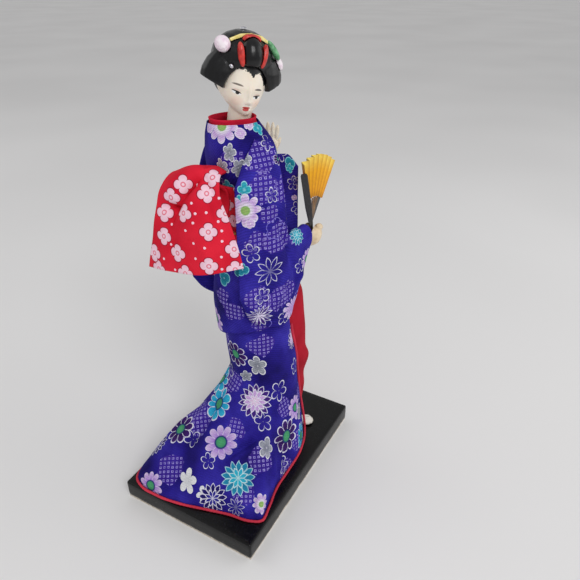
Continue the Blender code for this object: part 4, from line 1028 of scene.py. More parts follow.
RIGHT_SLEEVE = ((-15.5, -13.0, 182, 122, 2.3, 0.0), (-13.2, -16.4, 193, 110, 2.7, 1.5),
                (-9.5, -19.6, 200, 105, 3.2, 4.0), (-4.0, -22.6, 204, 102, 4.2, 7.0),
                (2.0, -24.4, 204, 100, 4.6, 7.0), (4.6, -24.8, 197, 99, 4.8, 5.0),
                (6.2, -25.0, 178, 99, 4.9, 1.0), (8.6, -25.3, 158, 100, 5.0, 0.0),
                (15.0, -25.7, 151, 104, 5.0, 0.0), (21.0, -25.9, 151, 116, 5.0, 0.0),
                (26.0, -26.0, 150, 127, 4.9, 0.0), (31.0, -26.2, 150, 136, 4.8, 0.0))
LEFT_SLEEVE = ((0.0, 30.0, 152, 116, 2.3, 0.0), (5.0, 28.6, 168, 108, 3.0, 1.0),
               (11.0, 26.0, 184, 102, 4.0, 3.5), (17.0, 23.2, 197, 98, 4.6, 8.0),
               (24.0, 18.6, 192, 98, 4.8, 4.0), (30.0, 11.0, 184, 104, 4.8, 0.5),
               (33.2, 3.0, 184, 114, 4.8, 0.0), (35.0, -4.0, 185, 128, 4.6, 0.0),
               (37.8, -10.8, 185, 136, 3.9, 0.0), (41.0, -16.4, 178, 141, 2.8, 0.0))
LEFT_CUFF = ((33.4, -1.0, 176.0), (31.0, -6.0, 198.0))
SLEEVE_SQUARENESS = 0.8
COLLAR_PROFILE = ((0, 5.5, 0.5), (0.37, 2.5, 0.2), (0.73, -0.1, 0.0), (1, -1.9, -0.4))
COLLAR_INSET = 1.4
COLLAR_ROWS = 14
HEM_ROLL_TOP = 88
HEM_ROLL_POINTS = 700
ROOM_MARGIN = 0.7
ROOM_BELOW = 3.0


def skirt_grid(inset: float = 0.0, around: int = 300) -> Array:
    """Outer skirt from the board up: ring · (1 - w) + hem · w, with w falling with height.

    Args:
        inset: how far it moves inwards.
        around: columns, from the right front edge round the back to the left one.

    Returns:
        Points of the cloth.
    """
    heights = np.concatenate([np.linspace(*span) for span in SKIRT_ROWS])
    hem = line_through(HEM_OUTLINE, around)
    share = np.linspace(0, 1, around)
    weight = spline(SKIRT_FLARE, heights)[:, :1]
    x, y, turn = middle(heights)
    radius = np.interp(heights, (KNEE_HEIGHT, SKIRT_TOP), (KNEE_RADIUS, SKIRT_TOP_RADIUS)) - inset
    low, high = EDGE_ANGLES
    angles = np.radians(low - (360 + low - high) * share)
    along = np.gradient(hem, axis=0)
    inward = np.column_stack([along[:, 1], -along[:, 0]])
    inward /= np.linalg.norm(inward, axis=1)[:, None]
    edge = hem + inward * inset
    facing = angles[None, :] + turn[:, None]
    px = (x[:, None] + radius[:, None] * np.cos(facing)) * (1 - weight) + edge[:, 0] * weight
    py = (y[:, None] + radius[:, None] * np.sin(facing)) * (1 - weight) + edge[:, 1] * weight
    return np.stack([px, py, np.broadcast_to(heights[:, None], px.shape)], -1)


def underskirt_grid(grow: float = 0.0) -> Array:
    """Underskirt with a fold standing out in front: r + fold · exp(-(angle off / width)^2)."""
    heights = np.linspace(UNDERSKIRT_SECTIONS[0][0], UNDERSKIRT_SECTIONS[-1][0], 100)
    radius, fold = spline(UNDERSKIRT_SECTIONS, heights).T
    x, y, _ = middle(heights)
    angles = full_turn(220)
    off = np.angle(np.exp(1j * (angles - math.radians(UNDERSKIRT_FOLD[0]))))
    width = math.radians(UNDERSKIRT_FOLD[1]) + grow * 0.08
    reach = radius[:, None] + fold[:, None] * np.exp(-((off / width) ** 2))[None, :] + grow
    return np.stack([x[:, None] + reach * np.cos(angles), y[:, None] + reach * np.sin(angles),
                     np.broadcast_to(heights[:, None], reach.shape)], -1)


def sleeve_grid(stations: Sequence[Sequence[float]], side: float) -> Array:
    """Hanging sleeve: upright flattened loops along its way round the body.

    Args:
        stations: rows of x, y, top, bottom, half thickness and lean over the shoulder.
        side: -1 on the figure's right and 1 on its left.

    Returns:
        Points as loops from the rear edge to the cuff, each from its top over the body's side.
    """
    route = np.array([row[:2] for row in stations], float)
    length = np.concatenate([[0], np.cumsum(np.linalg.norm(np.diff(route, axis=0), axis=1))])
    along = np.linspace(0, length[-1], 110)
    x, y, top, bottom, half, lean = spline(
        [(where, *row) for where, row in zip(length, stations)], along).T
    across = np.gradient(np.column_stack([x, y]), axis=0)
    across = np.column_stack([-across[:, 1], across[:, 0]]) * -side
    across /= np.linalg.norm(across, axis=1)[:, None]
    angles = full_turn(96)
    up = squared(angles, SLEEVE_SQUARENESS)[0]
    z = ((top + bottom) / 2)[:, None] + up[None, :] * ((top - bottom) / 2)[:, None]
    rise = np.clip((z - SHOULDER[0]) / (SHOULDER[1] - SHOULDER[0]), 0, 1)
    offset = half[:, None] * np.sin(angles)[None, :] + lean[:, None] * rise ** 1.5
    grid = np.stack([x[:, None] + across[:, :1] * offset, y[:, None] + across[:, 1:] * offset,
                     z], -1)
    margin = SLEEVE_GAP + SLEEVE_LEAST * (1 - np.sin(angles)) / 2
    flat = keep_off(grid.reshape(-1, 3), np.tile(margin, len(grid)))
    return soften(flat.reshape(grid.shape), True, 2)

SKIRT_CREASES = creases(
    (0.60, 0.68, 0.545, 0.30, 3.3, -4.2), (0.545, 0.30, 0.50, 0.05, 3.9, -3.0),
    (0.67, 0.54, 0.66, 0.16, 3.9, 2.4), (0.51, 0.52, 0.46, 0.12, 3.7, 2.5),
    (0.43, 0.37, 0.315, 0.57, 2.2, -3.9), (0.315, 0.57, 0.18, 0.34, 2.2, -3.3),
    (0.41, 0.31, 0.30, 0.47, 2.3, 2.4), (0.35, 0.36, 0.31, 0.03, 3.0, -3.3),
    (0.25, 0.40, 0.23, 0.04, 2.8, 2.4), (0.17, 0.30, 0.16, 0.03, 2.6, -2.4),
    (0.10, 0.08, 0.10, 0.60, 2.3, 1.5), (0.74, 0.05, 0.72, 0.55, 3.2, -2.4),
    (0.86, 0.05, 0.84, 0.55, 2.6, 2.0), (0.60, 0.75, 0.36, 0.71, 2.3, -2.0),
    (0.52, 0.64, 0.34, 0.76, 2.1, -1.4), (0.08, 0.66, 0.34, 0.82, 2.3, -1.4),
    (0.62, 0.66, 0.90, 0.76, 2.1, -1.4))
RIGHT_CREASES = creases(
    (0.80, 0.34, 0.74, 0.70, 2.0, -3.0), (0.74, 0.60, 0.62, 0.86, 1.8, 1.4),
    (0.62, 0.30, 0.55, 0.62, 2.7, 1.4), (0.88, 0.22, 0.70, 0.20, 2.3, -1.1),
    (0.74, 0.57, 0.69, 0.12, 2.3, -2.3), (0.84, 0.66, 0.57, 0.24, 2.3, 1.8),
    (0.60, 0.62, 0.55, 0.20, 2.2, -1.5))
LEFT_CREASES = creases(
    (0.80, 0.30, 0.60, 0.40, 2.6, -1.2), (0.70, 0.60, 0.58, 0.66, 2.4, 1.0),
    (0.86, 0.66, 0.62, 0.80, 2.2, -0.9))
FLAP_CREASES = creases(
    (0.70, 0.20, 0.44, 0.41, 2.0, -4.6), (0.44, 0.40, 0.22, 0.66, 2.3, -3.8),
    (0.62, 0.14, 0.14, 0.34, 3.4, 2.2), (0.70, 0.30, 0.48, 0.64, 3.2, 1.4),
    (0.14, 0.46, 0.36, 0.47, 2.5, -6.0), (0.72, 0.17, 0.92, 0.38, 1.8, -2.0),
    (0.74, 0.20, 0.80, 0.56, 2.0, -1.5), (0.68, 0.16, 0.64, 0.04, 1.8, -1.6),
    (0.36, 0.62, 0.28, 0.98, 3.2, -0.9), (0.60, 0.60, 0.72, 0.98, 3.2, 0.8))


@dataclass
class Robe:
    """Printed robe: skirt with its train, upper part, two sleeves, red rolled hem and collar."""

    skirt_prints: Sequence[Print]
    bodice_prints: Sequence[Print]
    right_prints: Sequence[Print]
    left_prints: Sequence[Print]
    hem_roll_radius: float = 0.78
    hem_roll_height: float = 0.9
    cuff_radius: float = 4.2

    def skirt_cloth(self) -> Cloth:
        """Skirt with its folds, which stay clear of the hem's rolled edge."""
        cloth = Cloth(skirt_grid(), False, -1.0).folded(SKIRT_CREASES).rippled(5, 26.0, 0.35)
        cloth.grid[..., 2] = np.maximum(cloth.grid[..., 2], 0.5)
        return cloth

    def bodice_cloth(self) -> Cloth:
        """Upper robe with soft pulls round the waist."""
        heights = np.linspace(TUNIC_SECTIONS[0][0], TUNIC_SECTIONS[-1][0], 120)
        return Cloth(tunic_grid(heights, full_turn(200)), True).rippled(8, 22.0, 0.22,
                                                                        (1.0, 1.0, 2.2))

    def sleeve_cloth(self, right: bool) -> Cloth:
        """Sleeve with its folds at the elbow and the cuff."""
        stations, side, folds, seed = ((RIGHT_SLEEVE, -1.0, RIGHT_CREASES, 11) if right
                                       else (LEFT_SLEEVE, 1.0, LEFT_CREASES, 12))
        cloth = Cloth(sleeve_grid(stations, side), True, side)
        return cloth.folded(folds).rippled(seed, 20.0, 0.3)

    def build(self) -> None:
        """Makes the pieces of the robe."""
        self.skirt()
        self.bodice()
        self.sleeves()
        self.underskirt()
        self.piping()
        self.collar()

    def room(self) -> bpy.types.Mesh:
        """Closed space that the underskirt needs inside the robe."""
        grid = underskirt_grid(ROOM_MARGIN)
        grid = np.concatenate([grid[:1] - (0, 0, ROOM_BELOW), grid,
                               grid[-1:] + (0, 0, ROOM_MARGIN)])
        mesh = sheet_mesh("room", grid, True, caps=True)
        tidy_mesh(mesh)
        return mesh

    def skirt(self) -> None:
        """Outer skirt and train."""
        cloth = self.skirt_cloth()
        obj = cloth.piece("robe_skirt", "robe_print", flip=True)
        cloth.paint(obj, "printed_crepe_skirt", self.skirt_prints, (2, 6), robe_material)
        trim(obj, self.room())
        cloth.hang(obj, "kimono_skirt", ROBE_WALL, "hung", ["body_core", "base_board"])

    def bodice(self) -> None:
        """Upper robe, open at the front below where the underskirt comes out."""
        cloth = self.bodice_cloth()
        obj = cloth.piece("robe_bodice", "robe_print")
        cloth.paint(obj, "printed_crepe_bodice", self.bodice_prints, (2, 5), robe_material)
        trim(obj, self.room())
        cloth.hang(obj, "kimono_bodice", ROBE_WALL, "hung", ["body_core"])

    def sleeves(self) -> None:
        """Both sleeves, with the hole that the left hand comes out of."""
        for name, right, prints in (("right", True, self.right_prints),
                                    ("left", False, self.left_prints)):
            cloth = self.sleeve_cloth(right)
            obj = cloth.piece("robe_sleeve_" + name, "robe_print", flip=right)
            cloth.paint(obj, "printed_crepe_" + name, prints, (3, 4), robe_material)
            if not right:
                path = line_through(LEFT_CUFF, 5)
                trim(obj, tube_mesh("cuff_room", path, self.cuff_radius, 32))
            cloth.hang(obj, "kimono_sleeve_" + name, ROBE_WALL, "hung", ["arm_wire_" + name])

    def underskirt(self) -> None:
        """Red underskirt, with long shallow pleats."""
        cloth = Cloth(underskirt_grid(), True).rippled(21, 13.0, 0.32, (1.0, 1.0, 3.6))
        obj = cloth.piece("red_underskirt", "red_cloth")
        obj.data.materials.append(red_crepe("red_crepe_underskirt", "#B81A2E"))
        cloth.hang(obj, "underskirt", ROBE_WALL, "hung", ["body_core"])

    def piping(self) -> None:
        """Rolled red edge of the skirt, with shallow puckers."""
        seat = PIPING_RADIUS + SEAT_GAP
        around = skirt_grid(-seat)
        low = around[:, 0, 2] < HEM_ROLL_TOP
        path = np.concatenate([around[low, 0][::-1], around[0, 1:-1], around[low, -1]])
        path[:, 2] = np.maximum(path[:, 2], seat)
        path = line_through(path[::3], HEM_ROLL_POINTS)
        count = np.arange(len(path))
        radius = self.hem_roll_radius * (1 + 0.06 * np.sin(count * 1.9)
                                         + 0.05 * np.sin(count * 0.37))
        path[:, 2] = np.maximum(path[:, 2], self.hem_roll_height)
        obj = new_object("hem_roll", tube_mesh("hem_roll", path, radius), "red_cloth")
        obj.data.materials.append(red_crepe("red_crepe_roll", "#D63A50"))
        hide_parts("hem_piping")

    def collar(self) -> None:
        """Red collar inside the neck, standing a little above the robe."""
        edge = TUNIC_SECTIONS[-1][0]
        angles = full_turn(200)
        share = np.linspace(0, 1, COLLAR_ROWS)
        shares, drops, insets = zip(*COLLAR_PROFILE)
        below = np.interp(share, shares, drops)
        inset = np.interp(share, shares, insets) + COLLAR_INSET
        grid = np.stack([tunic_grid(np.array([min(edge - b, edge)]), angles, i)[0]
                         for b, i in zip(below, inset)])
        grid[..., 2] = (edge - below)[:, None]
        cloth = Cloth(soften(grid, True, 3), True)
        obj = cloth.piece("red_collar", "red_cloth")
        obj.data.materials.append(red_crepe("red_crepe_collar", "#D81B3C"))
        cloth.hang(obj, "under_collar", CLOTH, "stretched", ["robe_bodice"])


# The sash

OBI_ENDS = (149.0, 180.0)
OBI_CORD_HEIGHT = 156.0
KNOT_LINE = ((-18.7, 23.0, 172.5), (-18.2, 16.0, 174.5), (-17.3, 8.0, 176.0),
             (-16.7, 0.0, 176.0), (-16.7, -6.0, 175.0))
KNOT_HALF = (6.6, 8.6)
KNOT_FOLD = 1.1
TAIL_ROWS = (
    ((-12.8, 13.0, 186.5), (-12.0, 6.0, 189.0), (-11.5, 0.0, 189.5), (-11.6, -6.0, 187.5)),
    ((-20.8, 17.0, 187.0), (-19.8, 9.0, 190.2), (-18.4, 1.0, 190.6), (-17.0, -7.0, 188.0)),
    ((-29.0, 20.0, 180.0), (-28.0, 10.0, 184.0), (-26.0, 0.0, 184.0), (-22.6, -10.0, 181.0)),
    ((-31.5, 22.5, 168.0), (-32.0, 10.0, 172.0), (-29.6, -3.0, 172.5), (-24.0, -15.0, 170.5)),
    ((-32.5, 25.5, 154.0), (-34.0, 10.0, 157.0), (-32.0, -5.0, 158.5), (-24.6, -19.5, 158.5)),
    ((-33.0, 29.5, 139.0), (-35.5, 13.0, 141.5), (-34.0, -5.0, 143.5), (-25.0, -22.8, 147.5)))


@dataclass
class Sash:
    """Red sash with its gold cord and the bow behind, a roll under a hanging flap."""

    tail_prints: Sequence[Print]
    knot_prints: Sequence[Print]
    band_prints: Sequence[Print]

    def tail_cloth(self) -> Cloth:
        """Flap: a smooth surface through its rows, with long soft folds down it."""
        across = [line_through(row, 90) for row in TAIL_ROWS]
        grid = np.stack([line_through([row[i] for row in across], 110) for i in range(90)], 1)
        return Cloth(grid, False, -1.0).folded(FLAP_CREASES).rippled(31, 17.0, 0.22)

    def knot_cloth(self) -> Cloth:
        """Roll: an oval loop swept along its line, flattened where the flap presses on it."""
        line = line_through(KNOT_LINE, 60)[:, None]
        angles = full_turn(90)
        grid = np.stack([line[..., 0] + KNOT_HALF[0] * np.cos(angles),
                         line[..., 1] + 1.5 * np.sin(angles),
                         line[..., 2] + KNOT_HALF[1] * (np.sin(angles)
                                                        * (1 + 0.1 * np.cos(3 * angles)))], -1)
        return Cloth(grid, True).rippled(33, 12.0, 0.2)

    def band_cloth(self) -> Cloth:
        """Band round the waist."""
        grid = tunic_grid(np.linspace(*OBI_ENDS, 40), full_turn(200),
                          -(SEAT_GAP + OBI_THICKNESS))
        return Cloth(grid, True).rippled(35, 14.0, 0.12)

    def build(self) -> None:
        """Makes the pieces of the sash."""
        for name, node, cloth, prints, held in (
                ("sash_band", "obi_band", self.band_cloth(), self.band_prints, "stretched"),
                ("sash_roll", "obi_knot", self.knot_cloth(), self.knot_prints, "folded"),
                ("sash_flap", "obi_tail", self.tail_cloth(), self.tail_prints, "folded")):
            obj = cloth.piece(name, "obi_print")
            cloth.paint(obj, "blossom_crepe_" + name, prints, (2, 2), sash_material)
            cloth.hang(obj, node, KNOT_FOLD * 0.9, held, ["robe_bodice"])
        self.cord()

    def cord(self) -> None:
        """Braided cord round the sash: a tube whose radius swells with its strands."""
        reach = SEAT_GAP + OBI_THICKNESS + OBI_CORD_GAP + OBI_CORD_RADIUS
        path = tunic_grid(np.array([OBI_CORD_HEIGHT]), full_turn(420), -reach)[0]
        radius = OBI_CORD_RADIUS * (1 + 0.09 * np.sin(np.arange(len(path)) * math.pi / 3))
        obj = new_object("sash_cord", tube_mesh("sash_cord", path, radius, closed=True),
                         "gold_cord")
        shader = Shader("gold_thread")
        twist = shader.threads(260.0, 1.0)
        shader.relief(twist, 0.25)
        obj.data.materials.append(shader.finish(
            shader.tones(twist, (0.1, "#6A3C10"), (0.7, "#C8923A")), 0.5, Metallic=0.25))
        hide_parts("obi_cord")


# Head, hair, hands and feet

HEAD_CENTRE = (6.9, -4.0, 225.0)
HEAD_ANGLES = (-124.0, -8.0, 6.0)
HEAD_SIZE = (23.5, 22.8, 34.0)
CHIN = (13.2, 4.4, 1.6)
NECK_POSITION = (6.6, -2.2)
NECK_BOTTOM = 203.5
NECK_RADIUS = 5.6
NOSE_FORMS = (((0, 0.9), (-2.4, 3.8), 1.5), ((0, 1.2), (-5.6, 1.2), 1.0),
              ((1.3, 0.8), (-6.0, 0.8), 0.28), ((-1.3, 0.8), (-6.0, 0.8), 0.28))
MOUTH_FORMS = (((0, 1.9), (-8.35, 0.6), 0.32), ((0, 1.9), (-9.55, 0.7), 0.38),
               ((0, 2.0), (-8.95, 0.26), -0.28))
EYE_FORMS = (((4.2, 2.3), (-3.0, 1.5), -0.6), ((-5.4, 2.3), (-1.5, 1.5), -0.6),
             ((4.2, 1.9), (-3.4, 0.75), 0.35), ((-5.5, 1.9), (-1.9, 0.75), 0.35))
CHEEK_FORMS = (((5.0, 3.0), (-6.2, 3.0), 0.5), ((-5.0, 3.0), (-6.2, 3.0), 0.5),
               ((0, 2.4), (-11.6, 1.5), 0.4))
FACE_FORMS = NOSE_FORMS + MOUTH_FORMS + EYE_FORMS + CHEEK_FORMS


def head_turn() -> Matrix:
    """Rotation of the head: +X is its face, +Y its left ear and +Z its crown."""
    turn, roll, nod = (math.radians(a) for a in HEAD_ANGLES)
    return (Matrix.Rotation(turn, 3, "Z") @ Matrix.Rotation(roll, 3, "X")
            @ Matrix.Rotation(nod, 3, "Y"))


def head_grid() -> Array:
    """Skull and face in the head's frame: an egg, narrower below, with moulded features.

    Returns:
        Points as rings from the crown down, in millimetres from the head's centre.
    """
    polar = np.linspace(0.02, math.pi - 0.02, 150)[:, None]
    angle = full_turn(220)[None, :]
    up = np.cos(polar)
    low = np.clip(-up, 0, 1)
    x = np.sin(polar) * np.cos(angle) * HEAD_SIZE[0] / 2 * (1 - 0.2 * low) + CHIN[1] * low ** 2
    y = (np.sin(polar) * np.sin(angle) * HEAD_SIZE[1] / 2 * (1 - 0.34 * low ** 1.4)
         + CHIN[2] * low ** 2)
    z = up * np.where(up > 0, HEAD_SIZE[2] / 2, CHIN[0]) + 0 * angle
    front = np.clip(np.cos(angle), 0, 1) * np.ones_like(z)
    aside = y - CHIN[2] * low ** 2
    moulded = sum(bump(aside, *side) * bump(z, *level) * amount
                  for side, level, amount in FACE_FORMS)
    x = x + moulded * (front > 0.02)
    return np.stack([x, y, z], -1)


def from_head(points: Array) -> Array:
    """Points of the head's frame, in millimetres above the board."""
    return points @ np.array(head_turn()).T + np.array(HEAD_CENTRE)


@dataclass(frozen=True)
class Stroke:
    """One painted mark on the face: centre aside and height, half sizes, tilt and colour."""

    aside: float
    height: float
    half: tuple[float, float]
    tilt: float
    code: str
    soft: float = 0.25
    strength: float = 1.0
    bow: float = 0.0


FACE_STROKES = (
    Stroke(-4.8, -5.6, (3.4, 2.8), 0, "#F2A890", 0.95, 0.2),
    Stroke(4.8, -6.4, (3.4, 2.8), 0, "#F2A890", 0.95, 0.25),
    Stroke(-5.5, 1.9, (2.7, 0.5), -8, "#4A3A36", 0.6, 0.85, 0.5),
    Stroke(4.5, 0.2, (2.5, 0.5), -6, "#2E2220", 0.6, 0.9, 0.5),
    Stroke(-5.6, -0.7, (2.4, 0.8), -14, "#D8A79A", 0.9, 0.4, 0.4),
    Stroke(4.3, -2.3, (2.4, 0.8), 2, "#D8A79A", 0.9, 0.4, 0.4),
    Stroke(-5.5, -1.75, (2.1, 0.72), -16, "#FBFAF6", 0.2, 1.0, 0.3),
    Stroke(4.2, -3.3, (2.1, 0.72), 2, "#FBFAF6", 0.2, 1.0, 0.3),
    Stroke(-5.2, -1.75, (0.86, 0.8), 0, "#15100F", 0.2, 1.0),
    Stroke(4.2, -3.3, (0.86, 0.8), 0, "#15100F", 0.2, 1.0),
    Stroke(-5.6, -1.2, (2.3, 0.32), -16, "#0C090A", 0.3, 1.0, 0.45),
    Stroke(4.2, -2.8, (2.3, 0.32), 3, "#0C090A", 0.3, 1.0, 0.45),
    Stroke(0.0, -8.4, (1.9, 0.62), 0, "#C8443F", 0.25, 1.0, -0.25),
    Stroke(0.0, -9.45, (1.55, 0.72), 0, "#D9534F", 0.25, 1.0, -0.3),
    Stroke(0.0, -8.92, (1.8, 0.14), 0, "#8E2A2A", 0.5, 1.0, 0.0),
    Stroke(-0.75, -6.6, (0.32, 0.2), 0, "#B98272", 0.7, 0.7),
    Stroke(0.75, -6.6, (0.32, 0.2), 0, "#B98272", 0.7, 0.7),
)


HAIRLINE = ((-11.0, 2.0), (-9.6, 5.6), (-8.2, 7.0), (-6.0, 8.2), (-3.0, 8.3), (-0.8, 7.4),
            (0.9, 5.2), (2.2, 6.6), (4.8, 6.9), (6.6, 4.6), (7.6, 1.5))
HAIRLINE_SPAN = 24
HAIRLINE_HEIGHT = 12


def face_material() -> bpy.types.Material:
    """Painted porcelain-white face: each stroke is an oval, u^2 + (v + bow · u^2)^2 < 1."""
    shader = Shader("painted_face")
    colour = shader.tones(shader.noise(120.0), (0.3, "#F8E9D6"), (0.7, "#FEF4E6"))
    turn = head_turn() @ Matrix(((0, 0, 1), (1, 0, 0), (0, 1, 0)))
    centre = Vector(HEAD_CENTRE) + Vector((0, 0, BOARD_TOP))
    local = shader.add("ShaderNodeMapping", {
        "Vector": shader.place, "Location": centre * MM,
        "Rotation": tuple(turn.to_euler("XYZ")), "Scale": (MM, MM, MM)},
        vector_type="TEXTURE").outputs[0]
    front = shader.maths("GREATER_THAN", shader.add("ShaderNodeSeparateXYZ", {0: local}
                                                    ).outputs[2], 0.0)
    for stroke in FACE_STROKES:
        flat = shader.add("ShaderNodeMapping", {
            "Vector": local, "Location": (stroke.aside, stroke.height, 0.0),
            "Rotation": (0.0, 0.0, math.radians(stroke.tilt)),
            "Scale": (stroke.half[0], stroke.half[1], 1e6)}, vector_type="TEXTURE").outputs[0]
        split = shader.add("ShaderNodeSeparateXYZ", {0: flat})
        u2 = shader.maths("MULTIPLY", split.outputs[0], split.outputs[0])
        v = shader.maths("MULTIPLY_ADD", u2, stroke.bow, split.outputs[1])
        reach = shader.maths("MULTIPLY_ADD", v, v, u2)
        cover = shader.add("ShaderNodeMapRange", {
            "Value": reach, "From Min": 1.0, "From Max": 1.0 - stroke.soft, "To Min": 0.0,
            "To Max": stroke.strength}, interpolation_type="SMOOTHSTEP").outputs[0]
        colour = shader.mix(shader.maths("MULTIPLY", cover, front), colour,
                            hex_colour(stroke.code))
    split = shader.add("ShaderNodeSeparateXYZ", {0: local})
    edge = shader.ramp(
        shader.maths("MULTIPLY_ADD", split.outputs[0], 1 / HAIRLINE_SPAN, 0.5),
        [(0.5 + aside / HAIRLINE_SPAN, (height / HAIRLINE_HEIGHT,) * 3 + (1,))
         for aside, height in HAIRLINE])
    ragged = shader.maths("MULTIPLY_ADD", shader.noise(1100.0), 2.2,
                          shader.maths("SUBTRACT", split.outputs[1], 1.1))
    above = shader.maths("GREATER_THAN", ragged,
                         shader.maths("MULTIPLY", edge.outputs[0], HAIRLINE_HEIGHT))
    colour = shader.mix(shader.maths("MULTIPLY", above, front), colour, hex_colour("#101114"))
    shader.relief(shader.noise(700.0), 0.02)
    return shader.finish(colour, 0.42, Coat_Weight=0.12, Coat_Roughness=0.3,
                         Subsurface_Weight=0.05)


ORNAMENTS = {
    "flower_right": ("petal_pink", "#FFF4FB", "#F6DCEE"),
    "flower_left": ("petal_pink", "#FBF4F8", "#F0D8E8"),
    "leaf": ("leaf_green", "#78BC88", "#3E8450"),
    "band": ("band_yellow", "#FCEFA0", "#EED877"),
    "ribbon_arch": ("ribbon_red", "#DE3A30", "#B0201E"),
    "ribbon_right": ("ribbon_red", "#DE3A30", "#B0201E"),
    "ribbon_left": ("ribbon_red", "#DE3A30", "#B0201E"),
}


@dataclass
class Head:
    """Moulded head with its hair and the ornaments that are glued on it."""

    nodes: dict[str, bpy.types.Object]
    face_detail: tuple[float, int] = (0.24, 4)
    hair_detail: tuple[float, int] = (0.42, 9)
    ornament_detail: tuple[float, int] = (0.22, 3)

    def build(self) -> None:
        """Makes the head, the hair and the ornaments."""
        self.face()
        hair = softened_copy("dressed_hair", "hair", "hair_black", *self.hair_detail, self.nodes)
        hair.data.materials.append(self.hair_material())
        for name, (slot, pale, dark) in ORNAMENTS.items():
            piece = softened_copy("ornament_" + name, "hair_" + name, slot,
                                  *self.ornament_detail, self.nodes)
            piece.data.materials.append(mottled("glazed_" + name, 420.0, 2.0, (0.62, pale),
                                                (0.35, dark), 0.4, 0.4, Coat_Weight=0.2))

    def face(self) -> None:
        """Face, skull and neck in one smooth piece."""
        mesh = sheet_mesh("face", from_head(head_grid()), True, flip=True, caps=True)
        x, y = NECK_POSITION
        top_x, top_y, z = HEAD_CENTRE
        z -= CHIN[0] / 2
        path = line_through(((x, y, NECK_BOTTOM), (x, y, NECK_BOTTOM + 3), (top_x, top_y, z),
                             (top_x, top_y, z + 4)), 24)
        bm = bmesh.new()
        bm.from_mesh(mesh)
        bm.from_mesh(tube_mesh("neck", path, NECK_RADIUS, 64))
        bmesh.ops.recalc_face_normals(bm, faces=bm.faces)
        bm.to_mesh(mesh)
        bm.free()
        obj = new_object("face", mesh, "skin_white")
        remould(obj, *self.face_detail)
        obj.data.materials.append(face_material())
        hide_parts("head")

    def hair_material(self) -> bpy.types.Material:
        """Black lacquered hair with fine combed lines."""
        shader = Shader("combed_hair")
        strand = shader.grain((900.0, 900.0, 60.0), (0.2, 0.1, 0.9))
        shader.relief(strand, 0.06)
        return shader.finish(shader.tones(strand, (0.35, "#030305"), (0.7, "#0A0B0F")), 0.24,
                             Specular_IOR_Level=0.42)


# The fan

FAN_PIVOT = (38.5, -26.0, 141.5)
FAN_RADIUS = 44.0
FAN_LEAF_DEPTH = 23.0
FAN_ANGLES = (-16.5, 38.0)
FAN_FOLDS = 14
FAN_FOLD_HEIGHT = 3.2
FAN_POINTS_PER_FOLD = 8
LEAF_START = FAN_ANGLES[0] + 1.5
LEAF_SPREAD = FAN_ANGLES[1] - FAN_ANGLES[0] - 3.0
GUARD_SIZE = (39.5, 3.7, 0.8)
GUARD_TWIST = -58.0
GUARD_START = -3.0
GUARD_ROWS = 40
GUARD_NARROW_HALF = 0.8
GUARD_BEHIND = 1.2
GUARD_TIP = (0.985, 0.015)


